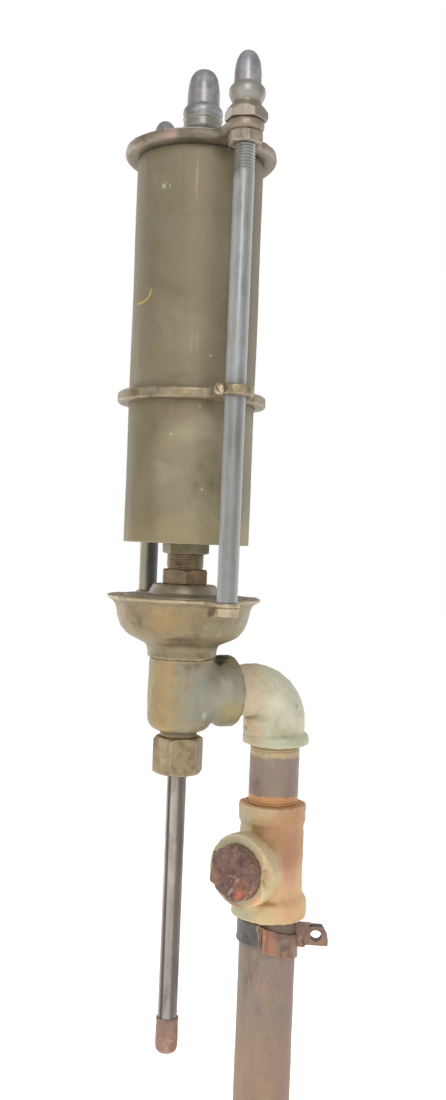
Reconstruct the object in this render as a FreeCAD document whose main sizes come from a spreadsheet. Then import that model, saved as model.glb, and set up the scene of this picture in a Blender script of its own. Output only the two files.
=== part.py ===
import FreeCAD, Part
import math
import os
import Sketcher

# Variable-pitch steam whistle on its supply pipe.
# Frame: origin at the centre of the lower end of the supply pipe, +Z up,
# +X from the whistle towards the supply pipe, tie rods at -Y and +Y of the whistle.
# Pieces are drawn about their own Z axis, with heights measured from the top face
# of the bowl rim, and are then moved onto the whistle axis or the pipe axis.

doc = FreeCAD.newDocument("steam_whistle")
sheet = doc.addObject("Spreadsheet::Sheet", "Dims")

# Millimetres; the two *_turn values are degrees about +Z from +X.
DIMENSIONS = {
    # placement of the whistle beside its pipe
    "pipe_offset": 90.0, "rim_height": 480.0,
    # bell tube, gasket, cap
    "bell_radius": 51.0, "bell_wall": 2.6, "bell_mouth": 43.0, "bell_end": 351.0,
    "gasket_thick": 1.0, "cap_radius": 61.5, "cap_thick": 8.6, "cap_spigot": 12.0,
    "cap_lug_radius": 13.4,
    # ring round the bell
    "ring_radius": 60.1, "ring_low": 155.0, "ring_tall": 8.6, "ring_lug_radius": 14.0,
    "ring_play": 0.1,
    # tie rods and their nuts
    "rod_circle": 82.4, "rod_radius": 7.94, "rod_stud_radius": 4.76, "rod_stud_end": -10.8,
    "rod_top": 393.0, "rod_hole_play": 0.12,
    "lug_nut_across": 23.8, "lug_nut_tall": 9.0,
    "bowl_nut_across": 15.9, "bowl_nut_tall": 7.0,
    "acorn_hex_corner": 16.5, "centre_scale": 1.28, "centre_stud_radius": 6.35,
    # bowl and languid
    "bowl_radius": 62.6, "slot_outer": 51.4, "languid_radius": 50.3, "languid_top": 1.3,
    "languid_low": -4.0, "hub_radius": 28.8, "hub_top": 9.8,
    "bowl_lug_radius": 10.0, "bowl_lug_thick": 3.4,
    "bowl_foot": -50.0, "bowl_foot_radius": 28.4, "thread_play": 0.05,
    # gland on top of the languid
    "gland_shank_radius": 12.9, "gland_hex_corner": 20.4, "gland_hex_top": 22.0,
    "gland_thread_radius": 15.1, "gland_top": 46.0,
    "gland_nut_corner": 19.4, "gland_nut_low": 34.5, "gland_nut_top": 53.0,
    "packing_radius": 11.9,
    # whistle body
    "body_radius": 26.5, "body_low": -109.5, "body_bore": 20.5, "collar_radius": 24.0,
    "branch_height": -78.3, "branch_face": 45.2, "branch_radius": 29.6, "neck_radius": 15.2,
    "body_thread_radius": 14.3, "body_thread_low": -134.0,
    "packing_nut_corner": 21.1, "packing_nut_top": -114.5, "packing_nut_low": -144.5,
    # piston and its rod
    "piston_rod_radius": 7.9, "rod_bore_play": 0.08, "piston_seat": 53.5,
    "piston_stud_radius": 6.35, "piston_stud_top": 85.5, "piston_radius": 47.7,
    "cup_play": 0.08, "rod_low": -369.0,
    "end_cap_radius": 9.2, "end_cap_top": -345.0, "end_cap_low": -374.0,
    # nipple, supply pipe, elbow
    "nipple_radius": 21.08, "nipple_bore": 17.5,
    "supply_radius": 24.13, "supply_bore": 20.45, "supply_thread": 23.7,
    "elbow_bend": 25.0, "elbow_body": 23.4, "elbow_band": 28.3, "elbow_drop": 45.6,
    "elbow_male": 62.3, "socket_deep": 18.0,
    # tee and its plug
    "tee_top": -174.5, "tee_low": -270.0, "tee_body": 27.4, "tee_band": 31.9,
    "tee_top_band": 28.4, "tee_branch_face": 45.8, "tee_branch_band": 30.3,
    "tee_branch_height": -224.5, "tee_branch_turn": 207.5,
    "plug_radius": 22.4, "plug_out": 9.6,
    # pipe clamp
    "clamp_top": -271.5, "clamp_wide": 20.2, "clamp_thick": 2.2, "clamp_gap": 0.1,
    "front_strap_height": -285.3, "front_strap_wide": 19.2,
    "ear_reach": 51.5, "ear_low": -294.0, "ear_top": -278.0, "ear_hole": 4.8,
    "ear_hole_height": -285.5, "ear_turn": 332.0,
}
for row, (alias, number) in enumerate(DIMENSIONS.items(), start=1):
    sheet.set("A%d" % row, alias)
    sheet.set("B%d" % row, repr(number))
    sheet.setAlias("B%d" % row, alias)
doc.recompute()

SIDES = ((-1, "near"), (1, "far"))  # sign of Y and name of each tie rod's side
Y_AXIS = FreeCAD.Vector(0, 1, 0)
Z_AXIS = FreeCAD.Vector(0, 0, 1)
HEX_FLAT_PER_CORNER = 0.8660254  # flat distance from the axis / corner distance
HEX_CORNER_PER_ACROSS = 0.57735  # corner distance from the axis / width across flats


# ---------------------------------------------------------------- sizes and bindings
class Size:
    """A length that knows both its number and the sheet expression it comes from."""

    def __init__(self, number, text):
        self.number = float(number)
        self.text = text

    def __add__(self, other):
        other = size(other)
        return Size(self.number + other.number, "(%s + %s)" % (self.text, other.text))

    def __sub__(self, other):
        other = size(other)
        return Size(self.number - other.number, "(%s - %s)" % (self.text, other.text))

    def __mul__(self, other):
        other = size(other)
        return Size(self.number * other.number, "(%s * %s)" % (self.text, other.text))

    def __neg__(self):
        return Size(-self.number, "(0 - %s)" % self.text)


class Dimensions:
    """dim.some_alias is the Size of that row of the sheet."""

    def __getattr__(self, alias):
        return Size(sheet.get(alias), "Dims." + alias)


dim = Dimensions()


def size(value):
    return value if isinstance(value, Size) else Size(value, "(%r)" % float(value))


def bind(obj, prop, value):
    obj.setExpression(prop, size(value).text)


def place(obj, x=0.0, y=0.0, z=0.0, rotation=None):
    x, y, z = size(x), size(y), size(z)
    obj.Placement = FreeCAD.Placement(FreeCAD.Vector(x.number, y.number, z.number),
                                      rotation or FreeCAD.Rotation())
    for axis, value in (("x", x), ("y", y), ("z", z)):
        bind(obj, "Placement.Base." + axis, value)
    return obj


def on_whistle(obj, y=0.0, z=0.0, rotation=None):
    return place(obj, -dim.pipe_offset, y, dim.rim_height + z, rotation)


def on_pipe(obj, z=0.0, rotation=None):
    return place(obj, 0.0, 0.0, dim.rim_height + z, rotation)


def about_z(turn):
    return FreeCAD.Rotation(Z_AXIS, turn)


def lying(turn):
    """Rotation that lays +Z flat, pointing along `turn` degrees."""
    angle = math.radians(turn)
    return FreeCAD.Rotation(Z_AXIS, FreeCAD.Vector(math.cos(angle), math.sin(angle), 0))


def radial_point(reach, offset, turn):
    """X and Y of a point `reach` out along `turn` degrees, `offset` to the left of it."""
    angle = math.radians(turn)
    reach, offset = size(reach), size(offset)
    return (reach * math.cos(angle) - offset * math.sin(angle),
            reach * math.sin(angle) + offset * math.cos(angle))


# ---------------------------------------------------------------- solids
def sketched_body(name, plane_role, points):
    """Body with a closed polygon sketch; two bound distances hold each corner."""
    body = doc.addObject("PartDesign::Body", name)
    sketch = body.newObject("Sketcher::SketchObject", name + "_sketch")
    plane = next(f for f in body.Origin.OriginFeatures if f.Role == plane_role)
    sketch.AttachmentSupport = [(plane, "")]
    sketch.MapMode = "FlatFace"
    corners = [(size(across), size(up)) for across, up in points]
    vectors = [FreeCAD.Vector(across.number, up.number, 0) for across, up in corners]
    count = len(corners)
    for i in range(count):
        sketch.addGeometry(Part.LineSegment(vectors[i], vectors[(i + 1) % count]), False)
    for i in range(count):
        sketch.addConstraint(Sketcher.Constraint("Coincident", i, 2, (i + 1) % count, 1))
    for i, (across, up) in enumerate(corners):
        for kind, label, value in (("DistanceX", "across_%d" % i, across),
                                   ("DistanceY", "up_%d" % i, up)):
            index = sketch.addConstraint(Sketcher.Constraint(kind, i, 1, value.number))
            sketch.renameConstraint(index, label)
            bind(sketch, "Constraints." + label, value)
    doc.recompute()
    return body, sketch


def turned(name, points):
    """Body made by revolving one closed outline of (radius, height) about its own Z."""
    body, sketch = sketched_body(name, "XZ_Plane", points)
    revolution = body.newObject("PartDesign::Revolution", name + "_turn")
    revolution.Profile = sketch
    revolution.ReferenceAxis = (sketch, ["V_Axis"])
    revolution.Angle = 360.0
    doc.recompute()
    return body


def sleeve(name, inner, outer, low, high):
    """Turned plain tube."""
    return turned(name, [(inner, low), (outer, low), (outer, high), (inner, high)])


def primitive(kind, name, **sizes):
    obj = doc.addObject("Part::" + kind, name)
    for prop, value in sizes.items():
        bind(obj, prop, value)
    return obj


def cylinder(name, radius, low, high, x=0.0, y=0.0):
    obj = primitive("Cylinder", name, Radius=radius, Height=size(high) - low)
    return place(obj, x, y, low)


def flat_cylinder(name, radius, length, turn, z, x=0.0, y=0.0):
    """Cylinder lying flat, from (x, y, z) along `turn` degrees."""
    obj = primitive("Cylinder", name, Radius=radius, Height=length)
    return place(obj, x, y, z, lying(turn))


def wedge(name, start, sweep, radius, low, high):
    """Pie slice from `start` degrees through `sweep` degrees."""
    obj = cylinder(name, radius, low, high)
    obj.Angle = sweep
    return place(obj, z=low, rotation=about_z(start))


def prism(name, corner, low, high, turn):
    obj = primitive("Prism", name, Circumradius=corner, Height=size(high) - low)
    obj.Polygon = 6
    return place(obj, z=low, rotation=about_z(turn))


def side_box(name, side, half_wide, inner, outer, low, high):
    """Box across the Y axis, between distances `inner` and `outer` on one side."""
    half_wide, inner, outer = size(half_wide), size(inner), size(outer)
    obj = primitive("Box", name, Length=half_wide * 2.0, Width=outer - inner,
                    Height=size(high) - low)
    return place(obj, -half_wide, -outer if side < 0 else inner, low)


def radial_box(name, start, reach, offset, thick, low, high, turn):
    """Box along `turn` degrees; `offset` moves its right face off the radial line."""
    obj = primitive("Box", name, Length=size(reach) - start, Width=thick,
                    Height=size(high) - low)
    x, y = radial_point(start, offset, turn)
    return place(obj, x, y, low, about_z(turn))


def fuse(name, *objs):
    obj = doc.addObject("Part::MultiFuse", name)
    obj.Shapes = list(objs)
    obj.Refine = True
    return obj


def cut(name, base, tool):
    obj = doc.addObject("Part::Cut", name)
    obj.Base = base
    obj.Tool = tool
    obj.Refine = True
    return obj


def common(name, *objs):
    obj = doc.addObject("Part::MultiCommon", name)
    obj.Shapes = list(objs)
    return obj


def hex_nut(name, corner, low, high, bore, turn, chamfer=0.9):
    """Hex nut with turned-down corners on both faces and a plain bore."""
    low, high, corner = size(low), size(high), size(corner)
    flat = corner * HEX_FLAT_PER_CORNER
    drop = chamfer * 1.6
    blank = prism(name + "_hex", corner, low, high, turn)
    lens = turned(name + "_lens", [
        (0.0, low), (flat - 0.2, low), (corner + 0.3, low + drop),
        (corner + 0.3, high - drop), (flat - 0.2, high), (0.0, high)])
    return cut(name, common(name + "_shaped", blank, lens),
               cylinder(name + "_bore", bore, low - 1, high + 1))


# ---------------------------------------------------------------- finished pieces
PIECES = []


def piece(obj):
    """Registers a finished piece; its Label names its file."""
    PIECES.append(obj)


def piece_pair(name, near, z=0.0, rotation=None):
    """One piece from `near`, set on the -Y tie rod, and its mirror image at +Y."""
    on_whistle(near, -dim.rod_circle, z, rotation)
    far = doc.addObject("Part::Mirroring", name + "_far")
    far.Source = near
    far.Base = FreeCAD.Vector(0, 0, 0)
    far.Normal = Y_AXIS
    pair = doc.addObject("Part::Compound", name)
    pair.Links = [near, far]
    piece(pair)


# ---------------------------------------------------------------- bell tube and gasket
bell_inner = dim.bell_radius - dim.bell_wall
piece(on_whistle(turned("bell_tube", [
    (bell_inner, dim.bell_mouth + 9.0), (dim.bell_radius - 0.7, dim.bell_mouth),
    (dim.bell_radius, dim.bell_mouth), (dim.bell_radius, dim.bell_end),
    (bell_inner, dim.bell_end)])))

cap_low = dim.bell_end + dim.gasket_thick
piece(on_whistle(sleeve("bell_gasket", bell_inner, dim.bell_radius, dim.bell_end, cap_low)))

# ---------------------------------------------------------------- bell cap
cap_high = cap_low + dim.cap_thick
spigot_low = cap_low - dim.cap_spigot
spigot_radius = bell_inner - 0.1
cap_stud_low = cap_low - 5.0
cap_disc = turned("cap_disc", [
    (0.0, spigot_low), (spigot_radius - 1.2, spigot_low),
    (spigot_radius, spigot_low + 1.2), (spigot_radius, cap_low),
    (dim.cap_radius - 4.2, cap_low), (dim.cap_radius - 1.6, cap_low + 0.9),
    (dim.cap_radius - 0.2, cap_low + 2.8), (dim.cap_radius, cap_low + 4.6),
    (dim.cap_radius - 0.3, cap_high - 1.4), (dim.cap_radius - 1.2, cap_high - 0.3),
    (dim.cap_radius - 2.4, cap_high), (0.0, cap_high)])

# Half plan of a lug arm: (half width, distance from the cap axis), from the eye inwards.
ARM_PLAN = [(dim.cap_lug_radius * 0.99, dim.rod_circle), (size(17.5), size(66.0)),
            (size(24.5), size(56.0))]


def cap_arm(name, side):
    """Lug arm that narrows from the disc to the eye."""
    left = [(-half, reach * side) for half, reach in ARM_PLAN]
    right = [(half, reach * side) for half, reach in reversed(ARM_PLAN)]
    body, sketch = sketched_body(name, "XY_Plane", left + right)
    pad = body.newObject("PartDesign::Pad", name + "_pad")
    pad.Profile = sketch
    bind(pad, "Length", dim.cap_thick)
    return place(body, z=cap_low)


cap_parts = [cap_disc]
cap_tools = []
for side, tag in SIDES:
    lug_y = dim.rod_circle * side
    cap_parts.append(cylinder("cap_eye_" + tag, dim.cap_lug_radius, cap_low, cap_high, y=lug_y))
    cap_parts.append(cap_arm("cap_arm_" + tag, side))
    cap_tools.append(cylinder("cap_hole_" + tag, dim.rod_radius + dim.rod_hole_play,
                              cap_low - 2, cap_high + 2, y=lug_y))
cap_tools.append(cylinder("cap_stud_hole", dim.centre_stud_radius + dim.thread_play,
                          cap_low - 6.0, cap_high + 2))
piece(on_whistle(cut("bell_cap", fuse("cap_solid", *cap_parts), fuse("cap_holes", *cap_tools))))

# ---------------------------------------------------------------- acorn nuts
# Outlines as (radius, height above the cap), from the hex foot up to the tip.
# Tie rods: slim bullet, one tall bead, a small tip.
ROD_ACORN = [
    (10.6, 12.6), (10.9, 13.6), (11.6, 15.0), (12.5, 16.6), (13.2, 18.2), (13.65, 19.9),
    (13.75, 21.4), (13.4, 23.4), (12.6, 24.9), (11.6, 26.0), (10.75, 26.9), (10.35, 27.8),
    (10.25, 29.0), (10.2, 33.5), (10.0, 37.0), (9.7, 40.0), (9.25, 42.6), (8.6, 45.2),
    (7.5, 47.8), (6.1, 50.0), (4.3, 51.6), (2.4, 52.3), (2.0, 52.8), (0.0, 52.8)]
# Centre stud: fuller bullet, a bead with a thin ring under it, no tip.
CENTRE_ACORN = [
    (10.6, 12.6), (11.3, 13.8), (12.0, 15.0), (12.2, 16.8), (11.95, 19.2), (12.05, 20.0),
    (12.55, 20.9), (12.55, 21.7), (11.95, 22.5), (12.05, 23.1), (12.5, 24.2), (12.6, 25.3),
    (12.4, 26.6), (11.9, 27.7), (11.1, 28.5), (10.5, 29.1), (10.27, 30.0), (10.23, 32.0),
    (10.15, 34.8), (10.1, 37.5), (9.9, 40.2), (9.6, 42.6), (9.1, 45.2), (8.3, 47.8),
    (7.0, 50.0), (5.15, 51.7), (2.8, 52.6), (0.0, 52.8)]


def acorn(name, outline, scale, bore, deep, turn):
    """Acorn nut on the cap: turned top over a hex foot, with a blind bore `deep` long."""
    scale = size(scale)
    base = cap_high
    scaled = [(scale * radius, base + scale * height) for radius, height in outline]
    top = turned(name + "_top", [(bore, base + 10.0), *scaled,
                                 (0.0, base + deep), (bore, base + deep)])
    foot_hex = prism(name + "_foot", dim.acorn_hex_corner * scale, base, base + scale * 13.0, turn)
    foot_lens = turned(name + "_lens", [
        (0.0, base), (scale * 15.6, base), (scale * 16.8, base + scale * 0.8),
        (scale * 16.8, base + scale * 5.4), (scale * 10.5, base + scale * 12.7),
        (0.0, base + scale * 12.7)])
    foot = common(name + "_hex", foot_hex, foot_lens)
    foot_hole = cylinder(name + "_hole", bore, base - 1, base + deep * 0.9)
    return fuse(name, top, cut(name + "_foot_cut", foot, foot_hole))


piece_pair("rod_acorns", acorn("acorn_near", ROD_ACORN, scale=1.0,
                               bore=dim.rod_radius + dim.thread_play, deep=36.0, turn=26.0))
piece(on_whistle(acorn("centre_acorn", CENTRE_ACORN, scale=dim.centre_scale,
                       bore=dim.centre_stud_radius + dim.thread_play, deep=34.0, turn=14.0)))

centre_stud = cylinder("centre_stud", dim.centre_stud_radius, cap_stud_low, cap_high + 32.0)
piece(on_whistle(centre_stud, z=cap_stud_low))

# ---------------------------------------------------------------- tie rods and nuts
# Each rod stands on the bowl rim and has a thinner stud below it.
piece_pair("tie_rods", turned("tie_rod_near", [
    (0.0, dim.rod_stud_end), (dim.rod_stud_radius - 0.7, dim.rod_stud_end),
    (dim.rod_stud_radius, dim.rod_stud_end + 0.7), (dim.rod_stud_radius, 0.0),
    (dim.rod_radius - 0.4, 0.0), (dim.rod_radius, 0.4),
    (dim.rod_radius, dim.rod_top - 0.8), (dim.rod_radius - 0.8, dim.rod_top),
    (0.0, dim.rod_top)]))

# under the cap lugs
piece_pair("lug_nuts", hex_nut(
    "lug_nut_near", dim.lug_nut_across * HEX_CORNER_PER_ACROSS, cap_low - dim.lug_nut_tall,
    cap_low, dim.rod_radius + dim.thread_play, turn=15.0))

# under the bowl lugs
piece_pair("bowl_lug_nuts", hex_nut(
    "bowl_nut_near", dim.bowl_nut_across * HEX_CORNER_PER_ACROSS,
    -dim.bowl_lug_thick - dim.bowl_nut_tall, -dim.bowl_lug_thick,
    dim.rod_stud_radius + dim.thread_play, turn=19.0))

# ---------------------------------------------------------------- ring round the bell
SCREW_TURN = 194.0  # direction of the near set screw, degrees
ring_high = dim.ring_low + dim.ring_tall
ring_inner = dim.bell_radius + dim.ring_play
screw_height = dim.ring_low + dim.ring_tall * 0.5
ring_parts = [turned("ring_band", [
    (ring_inner, dim.ring_low), (dim.ring_radius - 0.9, dim.ring_low),
    (dim.ring_radius, dim.ring_low + 0.9), (dim.ring_radius, ring_high - 0.9),
    (dim.ring_radius - 0.9, ring_high), (ring_inner, ring_high)])]
ring_tools = [cylinder("ring_bell_hole", ring_inner, dim.ring_low - 1, ring_high + 1)]
for side, tag in SIDES:
    lug_y = dim.rod_circle * side
    screw_turn = SCREW_TURN if side < 0 else 360.0 - SCREW_TURN
    ring_parts += [
        cylinder("ring_eye_" + tag, dim.ring_lug_radius, dim.ring_low, ring_high, y=lug_y),
        side_box("ring_web_" + tag, side, 11.0, 54.0, dim.rod_circle, dim.ring_low, ring_high)]
    ring_tools += [
        cylinder("ring_rod_hole_" + tag, dim.rod_radius + dim.rod_hole_play,
                 dim.ring_low - 1, ring_high + 1, y=lug_y),
        flat_cylinder("ring_screw_hole_" + tag, 2.45, 20.0, screw_turn, screw_height, y=lug_y)]
piece(on_whistle(cut("bell_ring", fuse("ring_solid", *ring_parts),
                     fuse("ring_cut", *ring_tools))))

# Slotted round-head set screws; the outline is (radius, distance from the rod axis).
screw_blank = turned("set_screw_blank", [
    (0.0, 8.1), (1.6, 8.1), (2.4, 8.9), (2.4, 14.05), (4.7, 14.05), (4.9, 14.6),
    (4.8, 16.2), (4.1, 17.3), (2.6, 18.0), (0.0, 18.2)])
screw_slot = place(primitive("Box", "set_screw_slot", Length=1.3, Width=12.0, Height=2.7),
                   -0.65, -6.0, 16.3)
piece_pair("ring_set_screws", cut("set_screw_near", screw_blank, screw_slot),
           screw_height, lying(SCREW_TURN))

# ---------------------------------------------------------------- bowl
collar_bore = dim.collar_radius + dim.thread_play
shank_bore = dim.gland_shank_radius + dim.thread_play
# (radius, height): lip and rim, down the outside to the foot, up the inside.
bowl_shell = turned("bowl_shell", [
    (dim.slot_outer, -6.0), (dim.slot_outer, -0.6), (dim.slot_outer + 0.5, 0.0),
    (dim.bowl_radius - 0.4, 0.0), (dim.bowl_radius, -0.5), (dim.bowl_radius, -1.6),
    (61.2, -3.0), (58.6, -4.4), (56.6, -6.6), (55.3, -9.6), (54.5, -12.8),
    (53.8, -16.2), (52.7, -19.8), (50.9, -24.2), (48.6, -27.8), (45.4, -31.0),
    (41.0, -33.9), (36.6, -36.0), (32.4, -37.9), (30.0, -39.8), (28.9, -42.2),
    (dim.bowl_foot_radius, -44.5), (dim.bowl_foot_radius, dim.bowl_foot),
    (collar_bore, dim.bowl_foot), (collar_bore, -37.5), (20.5, -37.5), (20.5, -34.0),
    (31.0, -31.0), (39.0, -28.0), (44.0, -24.0), (47.4, -19.0), (49.0, -13.0)])
bowl_hub = turned("bowl_hub", [
    (shank_bore, -30.0), (17.5, -30.0), (19.5, -27.0), (19.5, dim.languid_low),
    (shank_bore, dim.languid_low)])
bowl_parts = [bowl_shell, bowl_hub]
# three ribs hold the hub inside the bowl and leave the steam way open
for i in range(3):
    bowl_parts.append(radial_box("bowl_rib_%d" % i, start=16.0, reach=45.5, offset=-2.2,
                                 thick=4.4, low=-26.5, high=-12.0, turn=30.0 + 120.0 * i))
bowl_tools = []
for side, tag in SIDES:
    lug_y = dim.rod_circle * side
    bowl_parts += [
        cylinder("bowl_eye_" + tag, dim.bowl_lug_radius, -dim.bowl_lug_thick, 0.0, y=lug_y),
        side_box("bowl_arm_" + tag, side, dim.bowl_lug_radius, 55.0, dim.rod_circle,
                 -dim.bowl_lug_thick, 0.0),
        side_box("bowl_web_" + tag, side, 4.0, 52.0, 71.5, -12.0, -2.0)]
    bowl_tools.append(cylinder("bowl_stud_hole_" + tag, dim.rod_stud_radius + dim.rod_hole_play,
                               -14.0, 1.0, y=lug_y))
piece(on_whistle(cut("whistle_bowl", fuse("bowl_solid", *bowl_parts),
                     fuse("bowl_holes", *bowl_tools))))

# ---------------------------------------------------------------- languid
piece(on_whistle(turned("languid_plate", [
    (shank_bore, dim.languid_low), (dim.languid_radius - 3.0, dim.languid_low),
    (dim.languid_radius, dim.languid_low + 2.0), (dim.languid_radius, dim.languid_top - 1.2),
    (dim.languid_radius - 1.4, dim.languid_top), (dim.hub_radius + 1.6, dim.languid_top + 0.5),
    (dim.hub_radius, dim.languid_top + 1.6), (dim.hub_radius, dim.hub_top - 3.2),
    (dim.hub_radius - 1.9, dim.hub_top), (shank_bore, dim.hub_top)])))

# ---------------------------------------------------------------- upper gland
UPPER_PACKING_LOW = 31.0
UPPER_PACKING_HIGH = 45.0
rod_bore = dim.piston_rod_radius + dim.rod_bore_play
packing_bore = dim.packing_radius + 0.05
thread_relief = dim.gland_thread_radius - 0.6
gland_core = turned("gland_core", [
    (rod_bore, -26.0), (12.2, -26.0), (dim.gland_shank_radius, -25.2),
    (dim.gland_shank_radius, dim.hub_top), (17.0, dim.hub_top), (17.0, dim.gland_hex_top),
    (thread_relief, dim.gland_hex_top), (thread_relief, dim.gland_hex_top + 1.6),
    (dim.gland_thread_radius, dim.gland_hex_top + 2.2),
    (dim.gland_thread_radius, dim.gland_top - 0.8),
    (dim.gland_thread_radius - 0.8, dim.gland_top), (packing_bore, dim.gland_top),
    (packing_bore, UPPER_PACKING_LOW), (rod_bore, UPPER_PACKING_LOW)])
gland_hex = hex_nut("gland_hex_collar", dim.gland_hex_corner, dim.hub_top, dim.gland_hex_top,
                    bore=16.0, turn=9.0, chamfer=0.7)
piece(on_whistle(fuse("gland_body", gland_core, gland_hex)))

piece(on_whistle(sleeve("upper_packing", rod_bore, dim.packing_radius,
                        UPPER_PACKING_LOW, UPPER_PACKING_HIGH)))

gland_nut_blank = hex_nut("gland_nut_blank", dim.gland_nut_corner, dim.gland_nut_low,
                          dim.gland_nut_top, rod_bore, turn=27.0)
gland_nut_cavity = cylinder("gland_nut_cavity", dim.gland_thread_radius + dim.thread_play,
                            dim.gland_nut_low - 1.0, dim.gland_top + 1.0)
piece(on_whistle(cut("gland_nut", gland_nut_blank, gland_nut_cavity)))

piece(on_whistle(sleeve("upper_gland_ring", rod_bore, dim.packing_radius,
                        UPPER_PACKING_HIGH, dim.gland_top + 1.0)))

# ---------------------------------------------------------------- whistle body, side branch
lower_packing_low = dim.body_thread_low + 4.0
lower_packing_high = dim.body_thread_low + 16.0
# (radius, height): packing recess, up the outside to the collar, down the inside.
body_shell = turned("body_shell", [
    (rod_bore, lower_packing_high), (packing_bore, lower_packing_high),
    (packing_bore, dim.body_thread_low), (dim.body_thread_radius - 0.7, dim.body_thread_low),
    (dim.body_thread_radius, dim.body_thread_low + 0.8), (dim.body_thread_radius, -114.0),
    (dim.neck_radius, -114.0), (dim.neck_radius, dim.body_low),
    (19.2, -108.9), (22.6, -107.0), (24.9, -104.4), (26.0, -101.0),
    (dim.body_radius - 0.3, -97.0), (dim.body_radius, -62.0), (dim.body_radius, -51.6),
    (26.0, dim.bowl_foot), (dim.collar_radius, dim.bowl_foot), (dim.collar_radius, -38.0),
    (dim.body_bore, -38.0), (dim.body_bore, -98.0), (17.0, -102.5), (rod_bore, -103.5)])
# (radius, distance from the whistle axis)
branch = turned("branch_boss", [
    (0.0, 14.0), (24.0, 14.0), (24.6, 22.0), (25.6, 27.0), (27.2, 30.4), (29.0, 32.8),
    (dim.branch_radius, 35.0), (dim.branch_radius, dim.branch_face - 1.8),
    (dim.branch_radius - 1.6, dim.branch_face), (0.0, dim.branch_face)])
place(branch, z=dim.branch_height, rotation=FreeCAD.Rotation(Y_AXIS, 90))
body_inside = cylinder("body_inside", dim.body_bore, -98.0, -37.0)
branch_thread = flat_cylinder("branch_thread", dim.nipple_radius + dim.thread_play, 30.0, 0.0,
                              dim.branch_height, x=dim.branch_face - dim.socket_deep)
branch_way = flat_cylinder("branch_way", 17.5, dim.branch_face, 0.0, dim.branch_height)
piece(on_whistle(cut("whistle_body", fuse("body_solid", body_shell, branch),
                     fuse("body_hollows", body_inside, branch_thread, branch_way))))

# ---------------------------------------------------------------- lower gland
piece(on_whistle(sleeve("lower_packing", rod_bore, dim.packing_radius,
                        lower_packing_low, lower_packing_high)))

flange_low = dim.body_thread_low - 3.0
flange_high = dim.body_thread_low - 0.6
piece(on_whistle(turned("lower_gland_ring", [
    (rod_bore, flange_low), (13.6, flange_low), (13.6, flange_high),
    (dim.packing_radius, flange_high), (dim.packing_radius, lower_packing_low),
    (rod_bore, lower_packing_low)])))

packing_nut_blank = hex_nut("packing_nut_blank", dim.packing_nut_corner, dim.packing_nut_low,
                            dim.packing_nut_top, rod_bore, turn=-9.0, chamfer=1.3)
packing_nut_cavity = cylinder("packing_nut_cavity", dim.body_thread_radius + dim.thread_play,
                              flange_low, dim.packing_nut_top + 1.0)
piece(on_whistle(cut("packing_nut", packing_nut_blank, packing_nut_cavity)))

# ---------------------------------------------------------------- piston on its rod (moves)
cup_low = dim.piston_seat + 8.0
plate_low = dim.piston_seat + 11.0
piston_nut_low = dim.piston_seat + 16.0
stud_bore = dim.piston_stud_radius + dim.thread_play
cup_outer = bell_inner - dim.cup_play

piece(on_whistle(turned("piston_rod", [
    (0.0, dim.rod_low), (dim.piston_rod_radius - 0.6, dim.rod_low),
    (dim.piston_rod_radius, dim.rod_low + 0.6), (dim.piston_rod_radius, dim.piston_seat),
    (dim.piston_stud_radius, dim.piston_seat),
    (dim.piston_stud_radius, dim.piston_stud_top - 0.8),
    (dim.piston_stud_radius - 0.8, dim.piston_stud_top), (0.0, dim.piston_stud_top)])))

piece(on_whistle(turned("piston_head", [
    (stud_bore, dim.piston_seat), (dim.piston_radius - 1.0, dim.piston_seat),
    (dim.piston_radius, dim.piston_seat + 1.0), (dim.piston_radius, cup_low),
    (stud_bore, cup_low)])))

piece(on_whistle(turned("piston_cup", [
    (stud_bore, cup_low), (cup_outer - 1.0, cup_low), (cup_outer, cup_low + 1.0),
    (cup_outer, cup_low + 14.0), (cup_outer - 2.6, cup_low + 14.0),
    (cup_outer - 3.0, plate_low), (stud_bore, plate_low)])))

piece(on_whistle(turned("piston_plate", [
    (stud_bore, plate_low), (42.0, plate_low), (43.0, plate_low + 1.0),
    (43.0, piston_nut_low), (stud_bore, piston_nut_low)])))

piece(on_whistle(hex_nut("piston_nut", 12.8, piston_nut_low, piston_nut_low + 11.0,
                         stud_bore, turn=0.0)))

end_cap_bore = dim.piston_rod_radius + dim.thread_play
piece(on_whistle(turned("rod_end_cap", [
    (0.0, dim.end_cap_low), (6.2, dim.end_cap_low), (7.8, dim.end_cap_low + 0.8),
    (8.9, dim.end_cap_low + 2.4), (dim.end_cap_radius, dim.end_cap_low + 4.4),
    (dim.end_cap_radius, dim.end_cap_top - 0.8), (dim.end_cap_radius - 0.5, dim.end_cap_top),
    (end_cap_bore, dim.end_cap_top), (end_cap_bore, dim.rod_low), (0.0, dim.rod_low)])))

# ---------------------------------------------------------------- street elbow
# Own frame: the two centre lines meet at the origin, male end along -X, socket along -Z.
bend = dim.elbow_bend
socket_low = -dim.elbow_drop
nipple_thread = dim.nipple_radius + dim.thread_play


def elbow_quarter(name, radius):
    """Quarter torus joining the male end to the socket."""
    obj = primitive("Torus", name, Radius1=bend, Radius2=radius)
    obj.Angle3 = 90
    return place(obj, -bend, 0.0, -bend, FreeCAD.Rotation(FreeCAD.Vector(1, 0, 0), 90))


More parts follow.
